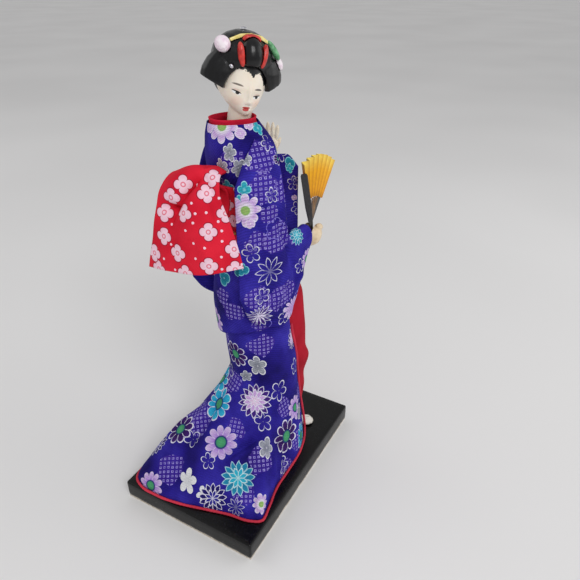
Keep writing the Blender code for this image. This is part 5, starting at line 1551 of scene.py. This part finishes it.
@dataclass
class Fan:
    """Half-open fan of pleated yellow paper on thin ribs between two black guards."""

    nodes: dict[str, bpy.types.Object]

    def build(self) -> None:
        """Makes the leaf and dresses the sticks."""
        share = np.linspace(0, 1, FAN_FOLDS * FAN_POINTS_PER_FOLD + 1)
        angles = np.radians(LEAF_START + share * LEAF_SPREAD)
        wave = 0.5 - np.abs((share * FAN_FOLDS) % 2 - 1)
        inner = FAN_RADIUS - FAN_LEAF_DEPTH
        radius = np.linspace(FAN_RADIUS, inner, 34)[:, None]
        spread = 0.4 + 0.6 * (radius - inner) / FAN_LEAF_DEPTH
        px = radius * np.sin(angles) + FAN_PIVOT[0]
        py = wave[None, :] * FAN_FOLD_HEIGHT * spread + FAN_PIVOT[1]
        pz = radius * np.cos(angles) + FAN_PIVOT[2]
        grid = np.stack([px, py + 0 * pz, pz], -1)
        obj = new_object("paper_leaf", sheet_mesh("paper_leaf", grid, False), "fan_paper")
        shade_smooth(obj.data, False)
        obj.data.materials.append(self.paper())
        thicken(obj, 0.3, offset=0.0)
        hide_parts("fan_leaf")
        stick = self.stick("black_stick", "#2C2C31", "#0C0C0E", 0.38)
        rib = self.stick("gilt_stick", "#9A6A22", "#3E2810", 0.45)
        self.guard().data.materials.append(stick)
        for name, node in self.nodes.items():
            if name.startswith("fan_guard"):
                dress(node, stick)
            elif name.startswith("fan_rib"):
                dress(node, rib)

    def guard(self) -> bpy.types.Object:
        """Broad outer stick: a flat rounded bar along its angle, turned about its own length."""
        length, width, thickness = GUARD_SIZE
        lean, twist = math.radians(FAN_ANGLES[0]), math.radians(GUARD_TWIST)
        along = np.array((math.sin(lean), 0.0, math.cos(lean)))
        flat = np.array((math.cos(lean), 0.0, -math.sin(lean)))
        deep = np.array((0.0, 1.0, 0.0))
        a, b = squared(full_turn(28), 0.35)
        rows = []
        for far in np.linspace(GUARD_START, length, GUARD_ROWS):
            share = np.clip(far / length, 0, 1)
            half = (GUARD_NARROW_HALF
                    + (width / 2 - GUARD_NARROW_HALF) * min(share * 2.2, 1.0))
            end = 1 - 0.25 * max(0.0, (share - GUARD_TIP[0]) / GUARD_TIP[1])
            spin = twist * min(share * 3.0, 1.0)
            side = flat * math.cos(spin) + deep * math.sin(spin)
            face = deep * math.cos(spin) - flat * math.sin(spin)
            centre = np.array(FAN_PIVOT) + along * far - deep * GUARD_BEHIND
            rows.append(centre + a[:, None] * half * end * side
                        + b[:, None] * thickness / 2 * end * face)
        mesh = sheet_mesh("fan_side_stick", np.stack(rows), True, caps=True)
        tidy_mesh(mesh)
        obj = new_object("fan_side_stick", mesh, "fan_black")
        crisp_edges(obj, 40)
        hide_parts("fan_guard_rear")
        return obj

    def paper(self) -> bpy.types.Material:
        """Yellow paper, brighter towards its outer edge, with painted shade on the pleats."""
        shader = Shader("pleated_paper")
        x, y, z = FAN_PIVOT[0] * MM, FAN_PIVOT[1] * MM, (FAN_PIVOT[2] + BOARD_TOP) * MM
        away = shader.vector("DISTANCE", shader.place, (x, y, z)).outputs["Value"]
        colour = shader.tones(shader.maths("MULTIPLY", away, 1000 / FAN_RADIUS),
                              (0.46, "#C88C00"), (0.56, "#F0B400"), (0.82, "#FCC80C"),
                              (0.97, "#FFEA70"))
        seen = shader.add("ShaderNodeSeparateXYZ", {0: shader.vector(
            "SUBTRACT", shader.place, (x, 0.0, z)).outputs[0]})
        angle = shader.maths("ARCTAN2", seen.outputs[0], seen.outputs[2])
        span = math.radians(LEAF_SPREAD) / FAN_FOLDS
        pleat = shader.maths("PINGPONG", shader.maths(
            "DIVIDE", shader.maths("SUBTRACT", angle, math.radians(LEAF_START)), span), 1.0)
        # Painted shade on the pleats: darkest at every second fold, palest at the folds between.
        pleat_shade = shader.tones(pleat, (0.0, "#D2AE78"), (0.3, "#F4E0B8"), (0.75, "#FFFFFF"))
        colour = shader.mix(0.85, colour, pleat_shade, "MULTIPLY")
        fibre = shader.noise(520.0, 3.0)
        colour = shader.mix(0.22, colour, shader.tones(fibre, (0.3, "#B89050"),
                                                       (0.7, "#FFFFFF")), "MULTIPLY")
        shader.relief(fibre, 0.06)
        return shader.finish(colour, 0.55)

    def stick(self, name: str, pale: str, dark: str, roughness: float) -> bpy.types.Material:
        """Lacquered bamboo with grain along it."""
        shader = Shader(name)
        fibre = shader.grain((2400.0, 2400.0, 160.0))
        shader.relief(fibre, 0.05)
        return shader.finish(shader.tones(fibre, (0.35, dark), (0.7, pale)), roughness,
                             Coat_Weight=0.3)


def dress(node: bpy.types.Object, material: bpy.types.Material) -> None:
    """Gives one of the model's solids its finish."""
    node.data.materials.clear()
    node.data.materials.append(material)


# The board

BOARD_EDGE = ((0.0, 3.0), (0.0, 0.5), (0.12, 0.2), (0.5, 0.03), (1.6, 0.0), (3.5, 0.0),
              (7.0, 0.0), (10.2, 0.0), (10.62, 0.12), (10.88, 0.36), (11.0, 0.8), (11.0, 4.0))


@dataclass
class Board:
    """Black lacquered board on a thin card, with worn lower edges."""

    length: float = 128.0
    width: float = 90.0
    card: float = 1.3
    corner: float = 1.2
    nicks: int = 34

    def outline(self, inset: float, count: int = 440) -> Array:
        """Rounded rectangle: straight sides joined by quarter circles."""
        corner = max(self.corner - inset * 0.5, 0.3)
        hx, hy = self.length / 2 - inset - corner, self.width / 2 - inset - corner
        per = count // 4
        quarter = np.linspace(0, math.pi / 2, 8)
        points = []
        for k, (sx, sy) in enumerate(((1, 1), (-1, 1), (-1, -1), (1, -1))):
            turn = quarter + k * math.pi / 2
            arc = np.column_stack([sx * hx + corner * np.cos(turn),
                                   sy * hy + corner * np.sin(turn)])
            nx, ny = ((-1, 1), (-1, -1), (1, -1), (1, 1))[k]
            end_turn = (k + 1) * math.pi / 2
            end = np.array((nx * hx + corner * math.cos(end_turn),
                            ny * hy + corner * math.sin(end_turn)))
            side = arc[-1] + (end - arc[-1]) * np.linspace(0, 1, per - 8 + 1)[1:, None]
            points.append(np.vstack([arc, side[:-1]]))
        return np.vstack(points)

    def build(self, nodes: dict[str, bpy.types.Object]) -> None:
        """Makes the board and dresses the card."""
        low = self.card + SEAT_GAP - BOARD_TOP
        grid = []
        for rise, inset in BOARD_EDGE:
            ring = self.outline(inset)
            away = ring / np.linalg.norm(ring, axis=1)[:, None]
            wear = np.clip(1.3 - rise, 0, 1.3) * 0.32 * self.chips(len(ring))
            wear += 0.1 * np.clip(rise - 10.3, 0, 0.5) * self.chips(len(ring), 7)
            ring = ring - away * wear[:, None]
            grid.append(np.column_stack([ring, np.full(len(ring), low + rise)]))
        mesh = sheet_mesh("lacquered_board", np.stack(grid), True, caps=True)
        tidy_mesh(mesh)
        obj = new_object("lacquered_board", mesh, "black_lacquer")
        crisp_edges(obj, 50)
        obj.data.materials.append(self.lacquer())
        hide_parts("base_board")
        dress(nodes["base_backing"], mottled("pale_card", 500.0, 3.0, (0.7, "#DDD5CA"),
                                             (0.3, "#B9AD9C"), 0.1, 0.9))

    def chips(self, count: int, seed: int = 3) -> Array:
        """Small nicks along an edge, 0 where it is whole."""
        chance = np.random.default_rng(seed)
        at = np.arange(count)
        wear = np.zeros(count)
        for centre in chance.integers(0, count, self.nicks):
            gap = np.minimum(np.abs(at - centre), count - np.abs(at - centre))
            wear += chance.uniform(0.3, 1.0) * np.exp(-((gap / chance.uniform(0.8, 3.0)) ** 2))
        return np.minimum(wear, 1.5)

    def lacquer(self) -> bpy.types.Material:
        """Thick black lacquer with faint dust and brush waves."""
        shader = Shader("black_lacquer")
        colour = shader.tones(shader.noise(900.0, 4.0), (0.55, "#060607"), (0.8, "#1E1E22"))
        rough = shader.ramp(shader.noise(60.0, 3.0), ((0.3, (0.2, 0.2, 0.2, 1)),
                                                      (0.7, (0.34, 0.34, 0.34, 1))))
        shader.relief(shader.noise(45.0), 0.12)
        return shader.finish(colour, rough.outputs[0], Specular_IOR_Level=0.28)


# Studio

@dataclass
class Studio:
    """Pale floor, soft light and the camera."""

    world_level: float = 0.52
    backdrop_level: float = 0.9
    key_power: float = 5.3
    fill_power: float = 1.1
    floor_span: float = 14.0
    aim_height: float = 0.12

    def build(self) -> None:
        """Makes the floor, the lights, the world and the camera."""
        self.floor()
        self.world()
        self.lights()
        self.camera()

    def floor(self) -> None:
        """Wide pale floor under the board."""
        mesh = bpy.data.meshes.new("floor")
        span = self.floor_span
        mesh.from_pydata([(-span, -span, 0), (span, -span, 0), (span, span, 0),
                          (-span, span, 0)], [], [(0, 1, 2, 3)])
        obj = in_scene("floor", mesh)
        mesh.materials.append(mottled("pale_floor", 3.0, 1.0, (0.7, "#EFEEEE"),
                                      (0.3, "#E9E8E8"), 0.0, 0.9))

    def world(self) -> None:
        """Even light all round, and a white background for the camera."""
        world = bpy.data.worlds.new("studio")
        bpy.context.scene.world = world
        world.use_nodes = True
        nodes = Nodes(world.node_tree)
        level = nodes.add("ShaderNodeMapRange", {
            "Value": nodes.add("ShaderNodeLightPath").outputs["Is Camera Ray"],
            "To Min": self.world_level, "To Max": self.backdrop_level})
        ground = nodes.tree.nodes["Background"]
        nodes.tree.links.new(level.outputs[0], ground.inputs["Strength"])
        ground.inputs["Color"].default_value = WHITE

    def lights(self) -> None:
        """Large soft key above the camera's left, a weaker fill from its right, one behind."""
        for name, place, size, power in (
                ("key", (-0.55, -0.75, 0.95), 0.6, self.key_power),
                ("fill", (0.6, -0.7, 0.5), 0.7, self.fill_power),
                ("back", (-0.2, 0.9, 0.8), 0.8, self.fill_power)):
            lamp = bpy.data.lights.new(name, "AREA")
            lamp.shape = "DISK"
            lamp.size = size
            lamp.energy = power
            obj = in_scene(name, lamp)
            obj.location = place
            aim = Vector((0, 0, self.aim_height)) - Vector(place)
            obj.rotation_euler = aim.to_track_quat("-Z", "Y").to_euler()

    def camera(self) -> None:
        """Camera at the photograph's place and angle of view."""
        lens = bpy.data.cameras.new("camera")
        lens.sensor_width = SENSOR_WIDTH
        lens.lens = LENS
        lens.clip_start = NEAREST_SEEN
        obj = in_scene("camera", lens)
        dip = math.radians(CAMERA_DIP)
        way = Vector((CAMERA_HEADING[0] * math.cos(dip), CAMERA_HEADING[1] * math.cos(dip),
                      -math.sin(dip)))
        obj.location = CAMERA_PLACE
        obj.rotation_euler = way.to_track_quat("-Z", "Y").to_euler()
        bpy.context.scene.camera = obj
        bpy.context.scene.view_settings.view_transform = "Standard"


HIDDEN_FINISHES = {
    "leg_wire_right": "steel", "leg_wire_left": "steel", "arm_wire_right": "steel",
    "arm_wire_left": "steel", "body_core": "padding", "neck_peg": "wood", "fan_rivet": "brass",
    "hair_pin_crown": "silver", "hair_pin_wing": "silver",
}


def plain_finish(kind: str) -> bpy.types.Material:
    """Finish of the solids that stay as the model has them."""
    pale, dark, roughness, metallic, scale = {
        "steel": ("#B9BBC0", "#85878C", 0.32, 1.0, 900.0),
        "padding": ("#E6E1D4", "#BDB5A2", 0.95, 0.0, 600.0),
        "wood": ("#C79A62", "#8A5E30", 0.65, 0.0, 260.0),
        "brass": ("#D9B260", "#9A7430", 0.3, 1.0, 800.0),
        "silver": ("#ECECF2", "#B4B4BC", 0.25, 1.0, 900.0),
    }[kind]
    return mottled("finish_" + kind, scale, 3.0, (0.7, pale), (0.3, dark), 0.05, roughness,
                   Metallic=metallic)


def build_scene(nodes: dict[str, bpy.types.Object]) -> None:
    """Builds every piece of the figurine."""
    Board().build(nodes)
    Robe(SKIRT_PRINTS, BODICE_PRINTS, RIGHT_PRINTS, LEFT_PRINTS).build()
    Sash(TAIL_PRINTS, KNOT_PRINTS, BAND_PRINTS).build()
    Head(nodes).build()
    for node, pale, dark, voxel in (("hand_right", "#F0DCBC", "#DCC29C", 0.26),
                                    ("hand_left", "#F2E8D4", "#DFCDB0", 0.2),
                                    ("foot_right", "#F2EFE8", "#D5CFC2", 0.26),
                                    ("foot_left", "#F2EFE8", "#D5CFC2", 0.26)):
        piece = softened_copy("moulded_" + node, node, "skin_white", voxel, 4, nodes)
        piece.data.materials.append(mottled("painted_" + node, 160.0, 3.0, (0.62, pale),
                                            (0.32, dark), 0.15, 0.5, Coat_Weight=0.1))
    Fan(nodes).build()
    finishes = {kind: plain_finish(kind) for kind in dict.fromkeys(HIDDEN_FINISHES.values())}
    for name, kind in HIDDEN_FINISHES.items():
        dress(nodes[name], finishes[kind])


SKIRT_PRINTS = in_runs(
    ("dots", (0.543, 0.226, 8.9), (0.339, 0.198, 6.9), (0.309, 0.422, 8.7), (0.305, 0.897, 8.5),
     (0.556, 0.701, 7.9), (0.576, 0.527, 8.0), (0.422, 0.583, 6.6), (0.155, 0.030, 8.1),
     (0.185, 0.617, 6.1), (0.64, 0.55, 9), (0.72, 0.3, 10), (0.83, 0.5, 10), (0.92, 0.28, 9),
     (0.75, 0.85, 9), (0.1, 0.2, 8), (0.03, 0.6, 7), (0.64, 0.9, 8)),
    ("pale leaf", (0.359, 0.806, 7.6, 20), (0.449, 0.750, 5.3, -40)),
    ("outline leaf", (0.235, 0.687, 7.2, -20), (0.319, 0.610, 6.5, 30)),
    ("pale leaf", (0.295, 0.485, 7.0, 10)), ("outline leaf", (0.556, 0.436, 6.7, 40)),
    ("dark mum", (0.650, 0.219, 8.1)), ("lilac daisy", (0.563, 0.058, 9.0)),
    ("white leaf", (0.483, 0.198, 7.6, 30), (0.432, 0.135, 5.2, -20)),
    ("dark mum", (0.409, 0.114, 8.7)), ("open lilac", (0.295, 0.142, 6.2)),
    ("purple daisy", (0.506, 0.834, 8.8)), ("lilac daisy", (0.453, 0.478, 10.1)),
    ("cyan daisy", (0.560, 0.624, 11.1)), ("mum", (0.376, 0.666, 10.7)),
    ("purple daisy", (0.158, 0.380, 11.1)), ("teal mum", (0.362, 0.282, 10.4)),
    ("lotus", (0.352, 0.086, 5.7)), ("outline leaf", (0.162, 0.107, 6.2, -30),
     (0.459, 0.345, 5.3, 10), (0.9, 0.62, 7, 20)), ("pale leaf", (0.72, 0.47, 7, -20)),
    ("outline leaf", (0.62, 0.72, 6, 10)), ("pale leaf", (0.8, 0.66, 6, 30)),
    ("outline leaf", (0.97, 0.36, 7)), ("white leaf", (0.84, 0.2, 8, 15)),
    ("outline leaf", (0.08, 0.74, 6, 10)), ("pale leaf", (0.05, 0.4, 6, -15)),
    ("cyan daisy", (0.68, 0.66, 10)), ("lilac daisy", (0.78, 0.14, 10)),
    ("purple daisy", (0.62, 0.42, 10)), ("mum", (0.87, 0.42, 11)), ("dark mum", (0.72, 0.9, 9)),
    ("teal mum", (0.93, 0.13, 10)), ("open lilac", (0.74, 0.26, 8)),
    ("lilac daisy", (0.95, 0.82, 9)), ("purple daisy", (0.83, 0.84, 9)),
    ("cyan daisy", (0.06, 0.13, 9)), ("lilac daisy", (0.1, 0.56, 8)), ("mum", (0.03, 0.86, 8)))
BODICE_PRINTS = in_runs(
    ("dots", (0.626, 0.868, 6.5), (0.511, 0.137, 7.1), (0.461, 0.213, 5.4), (0.626, 0.053, 7.7),
     (0.521, 0.759, 4.4), (0.2, 0.6, 8), (0.05, 0.3, 9), (0.9, 0.5, 9), (0.3, 0.2, 8),
     (0.35, 0.85, 7)), ("open lilac", (0.597, 0.999, 7.9)), ("lilac leaf", (0.526, 0.986, 3.7),
     (0.692, 0.969, 3.7, 50)), ("pale leaf", (0.621, 0.902, 4.6, 10), (0.642, 0.843, 4.7, -20),
     (0.572, 0.843, 4.3, 40)), ("cyan leaf", (0.556, 0.750, 4.4), (0.817, 0.977, 3.8)),
    ("teal leaf", (0.471, 0.305, 4.8, 20), (0.551, 0.355, 4.2, -20)),
    ("lilac daisy", (0.387, 0.061, 8.7)), ("lilac leaf", (0.762, 0.999, 3.3, -30)),
    ("pale leaf", (0.28, 0.4, 6, 20)), ("outline leaf", (0.12, 0.5, 6), (0.4, 0.92, 5, 10)),
    ("teal leaf", (0.2, 0.9, 4)), ("cyan daisy", (0.2, 0.16, 9)), ("mum", (0.33, 0.33, 9)),
    ("lilac daisy", (0.27, 0.78, 9)), ("purple daisy", (0.42, 0.62, 8)),
    ("dark mum", (0.1, 0.8, 8)), ("teal mum", (0.92, 0.86, 7)), ("open lilac", (0.06, 0.16, 8)),
    ("purple daisy", (0.9, 0.2, 9)), ("lilac daisy", (0.36, 0.96, 7)))
RIGHT_PRINTS = in_runs(
    ("dots", (0.899, 0.278, 9.2), (0.836, 0.250, 8.5), (0.753, 0.397, 9.6), (0.753, 0.177, 6.4),
     (0.649, 0.168, 8.4), (0.784, 0.306, 5.8), (0.701, 0.526, 6.5)),
    ("cloud", (0.764, 0.351, 5.9), (0.524, 0.223, 5.4)), ("dots", (0.95, 0.7, 7), (0.62, 0.72, 7),
     (0.1, 0.5, 9), (0.35, 0.4, 9)), ("outline leaf", (0.941, 0.406, 4.7, -40)),
    ("purple daisy", (0.920, 0.471, 3.1)), ("pale leaf", (0.972, 0.122, 3.6, 15)),
    ("cyan leaf", (0.868, 0.085, 4.2), (0.857, 0.039, 3.3)), ("open lilac", (0.816, 0.085, 8.5)),
    ("lilac leaf", (0.784, 0.122, 3.4, 20)), ("lotus", (0.711, 0.287, 8.7)),
    ("outline leaf", (0.743, 0.122, 6.0, 30), (0.264, 0.783, 5.0, -30)),
    ("teal leaf", (0.711, 0.039, 4.0, -10)), ("outline leaf", (0.586, 0.480, 6.1, 10),
     (0.659, 0.214, 5.2, -40), (0.816, 0.324, 4.3, 20)), ("purple daisy", (0.6, 0.66, 6)),
    ("lilac daisy", (0.7, 0.88, 6)), ("teal mum", (0.92, 0.74, 6)),
    ("outline leaf", (0.76, 0.74, 5, 20)), ("lilac daisy", (0.36, 0.6, 9)),
    ("mum", (0.4, 0.2, 9)), ("outline leaf", (0.3, 0.5, 6)))
LEFT_PRINTS = in_runs(
    ("dots", (0.85, 0.35, 9), (0.7, 0.6, 9), (0.62, 0.3, 9), (0.3, 0.5, 9), (0.9, 0.7, 8)),
    ("teal leaf", (0.097, 0.929, 3.8)), ("outline leaf", (0.191, 0.957, 4.4, 10),
     (0.274, 0.994, 4.5, -20)), ("cyan leaf", (0.128, 0.929, 2.7, 10)),
    ("outline leaf", (0.170, 0.984, 2.7)), ("lilac leaf", (0.243, 0.966, 2.2, 20)),
    ("outline leaf", (0.295, 0.994, 2.3, 30), (0.78, 0.2, 6)), ("pale leaf", (0.66, 0.45, 7, 20)),
    ("outline leaf", (0.86, 0.82, 6, 10)), ("pale leaf", (0.94, 0.3, 5)),
    ("teal leaf", (0.74, 0.8, 5)), ("mum", (0.8, 0.46, 10)), ("cyan daisy", (0.64, 0.2, 9)),
    ("purple daisy", (0.9, 0.55, 8)), ("lilac daisy", (0.68, 0.74, 9)),
    ("dark mum", (0.58, 0.52, 8)), ("open lilac", (0.94, 0.42, 7)), ("teal mum", (0.84, 0.16, 7)),
    ("lilac daisy", (0.1, 0.7, 8)), ("purple daisy", (0.3, 0.3, 8)),
    ("cyan daisy", (0.4, 0.7, 8)), ("outline leaf", (0.02, 0.85, 5, 10), (0.03, 0.6, 6, -20)))
TAIL_PRINTS = in_runs(
    ("blossom", (0.734, 0.636, 4.8), (0.374, 0.828, 5.0), (0.958, 0.801, 4.9),
     (0.779, 0.324, 4.8), (0.475, 0.498, 4.8), (0.430, 0.287, 4.8), (1.003, 0.461, 4.8),
     (0.172, 0.700, 5.0), (0.700, 0.920, 4.9), (0.149, 0.994, 5.2), (0.464, 0.994, 5.0),
     (0.925, 0.999, 4.9), (0.060, 0.856, 5.2), (0.880, 0.177, 4.8), (0.273, 0.388, 4.8),
     (0.149, 0.507, 4.9)), ("bud", (0.565, 0.728, 0.7), (0.857, 0.718, 0.7), (0.576, 0.562, 0.7),
     (0.869, 0.544, 0.7), (0.588, 0.416, 0.7), (0.273, 0.764, 0.7), (0.824, 0.856, 0.7),
     (0.576, 0.856, 0.7), (0.239, 0.608, 0.7), (0.981, 0.324, 0.7), (0.599, 0.250, 0.7),
     (0.610, 0.489, 0.7), (0.206, 0.893, 0.7), (0.734, 0.480, 0.7), (0.880, 0.627, 0.7),
     (1.003, 0.957, 0.7), (0.352, 0.975, 0.7), (0.812, 0.966, 0.7), (0.678, 0.764, 0.7),
     (0.487, 0.627, 0.7)))
KNOT_PRINTS = in_runs(
    ("blossom", (0.503, 0.208, 4.2), (0.426, 0.480, 4.1), (0.670, 0.141, 4.3),
     (0.314, 0.717, 4.1), (0.75, 0.4, 4.2), (0.9, 0.7, 4.2), (0.2, 0.3, 4.2), (0.05, 0.6, 4.2),
     (0.6, 0.85, 4.2), (0.85, 0.1, 4.2)))
BAND_PRINTS = in_runs(
    ("blossom", (0.531, 0.700, 3.7), (0.616, 0.982, 3.6), (0.536, 0.418, 3.8),
     (0.847, 0.341, 3.9), (0.862, 0.674, 3.9), (0.05, 0.3, 4), (0.12, 0.75, 4), (0.2, 0.25, 4),
     (0.27, 0.75, 4), (0.34, 0.3, 4), (0.41, 0.78, 4), (0.46, 0.28, 4), (0.68, 0.3, 4),
     (0.74, 0.8, 4), (0.92, 0.7, 4), (0.97, 0.3, 4)))


def main() -> None:
    """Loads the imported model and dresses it."""
    logging.basicConfig(level=logging.INFO)
    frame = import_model()
    Studio().build()
    build_scene(frame["nodes"])


if __name__ == "__main__":
    main()
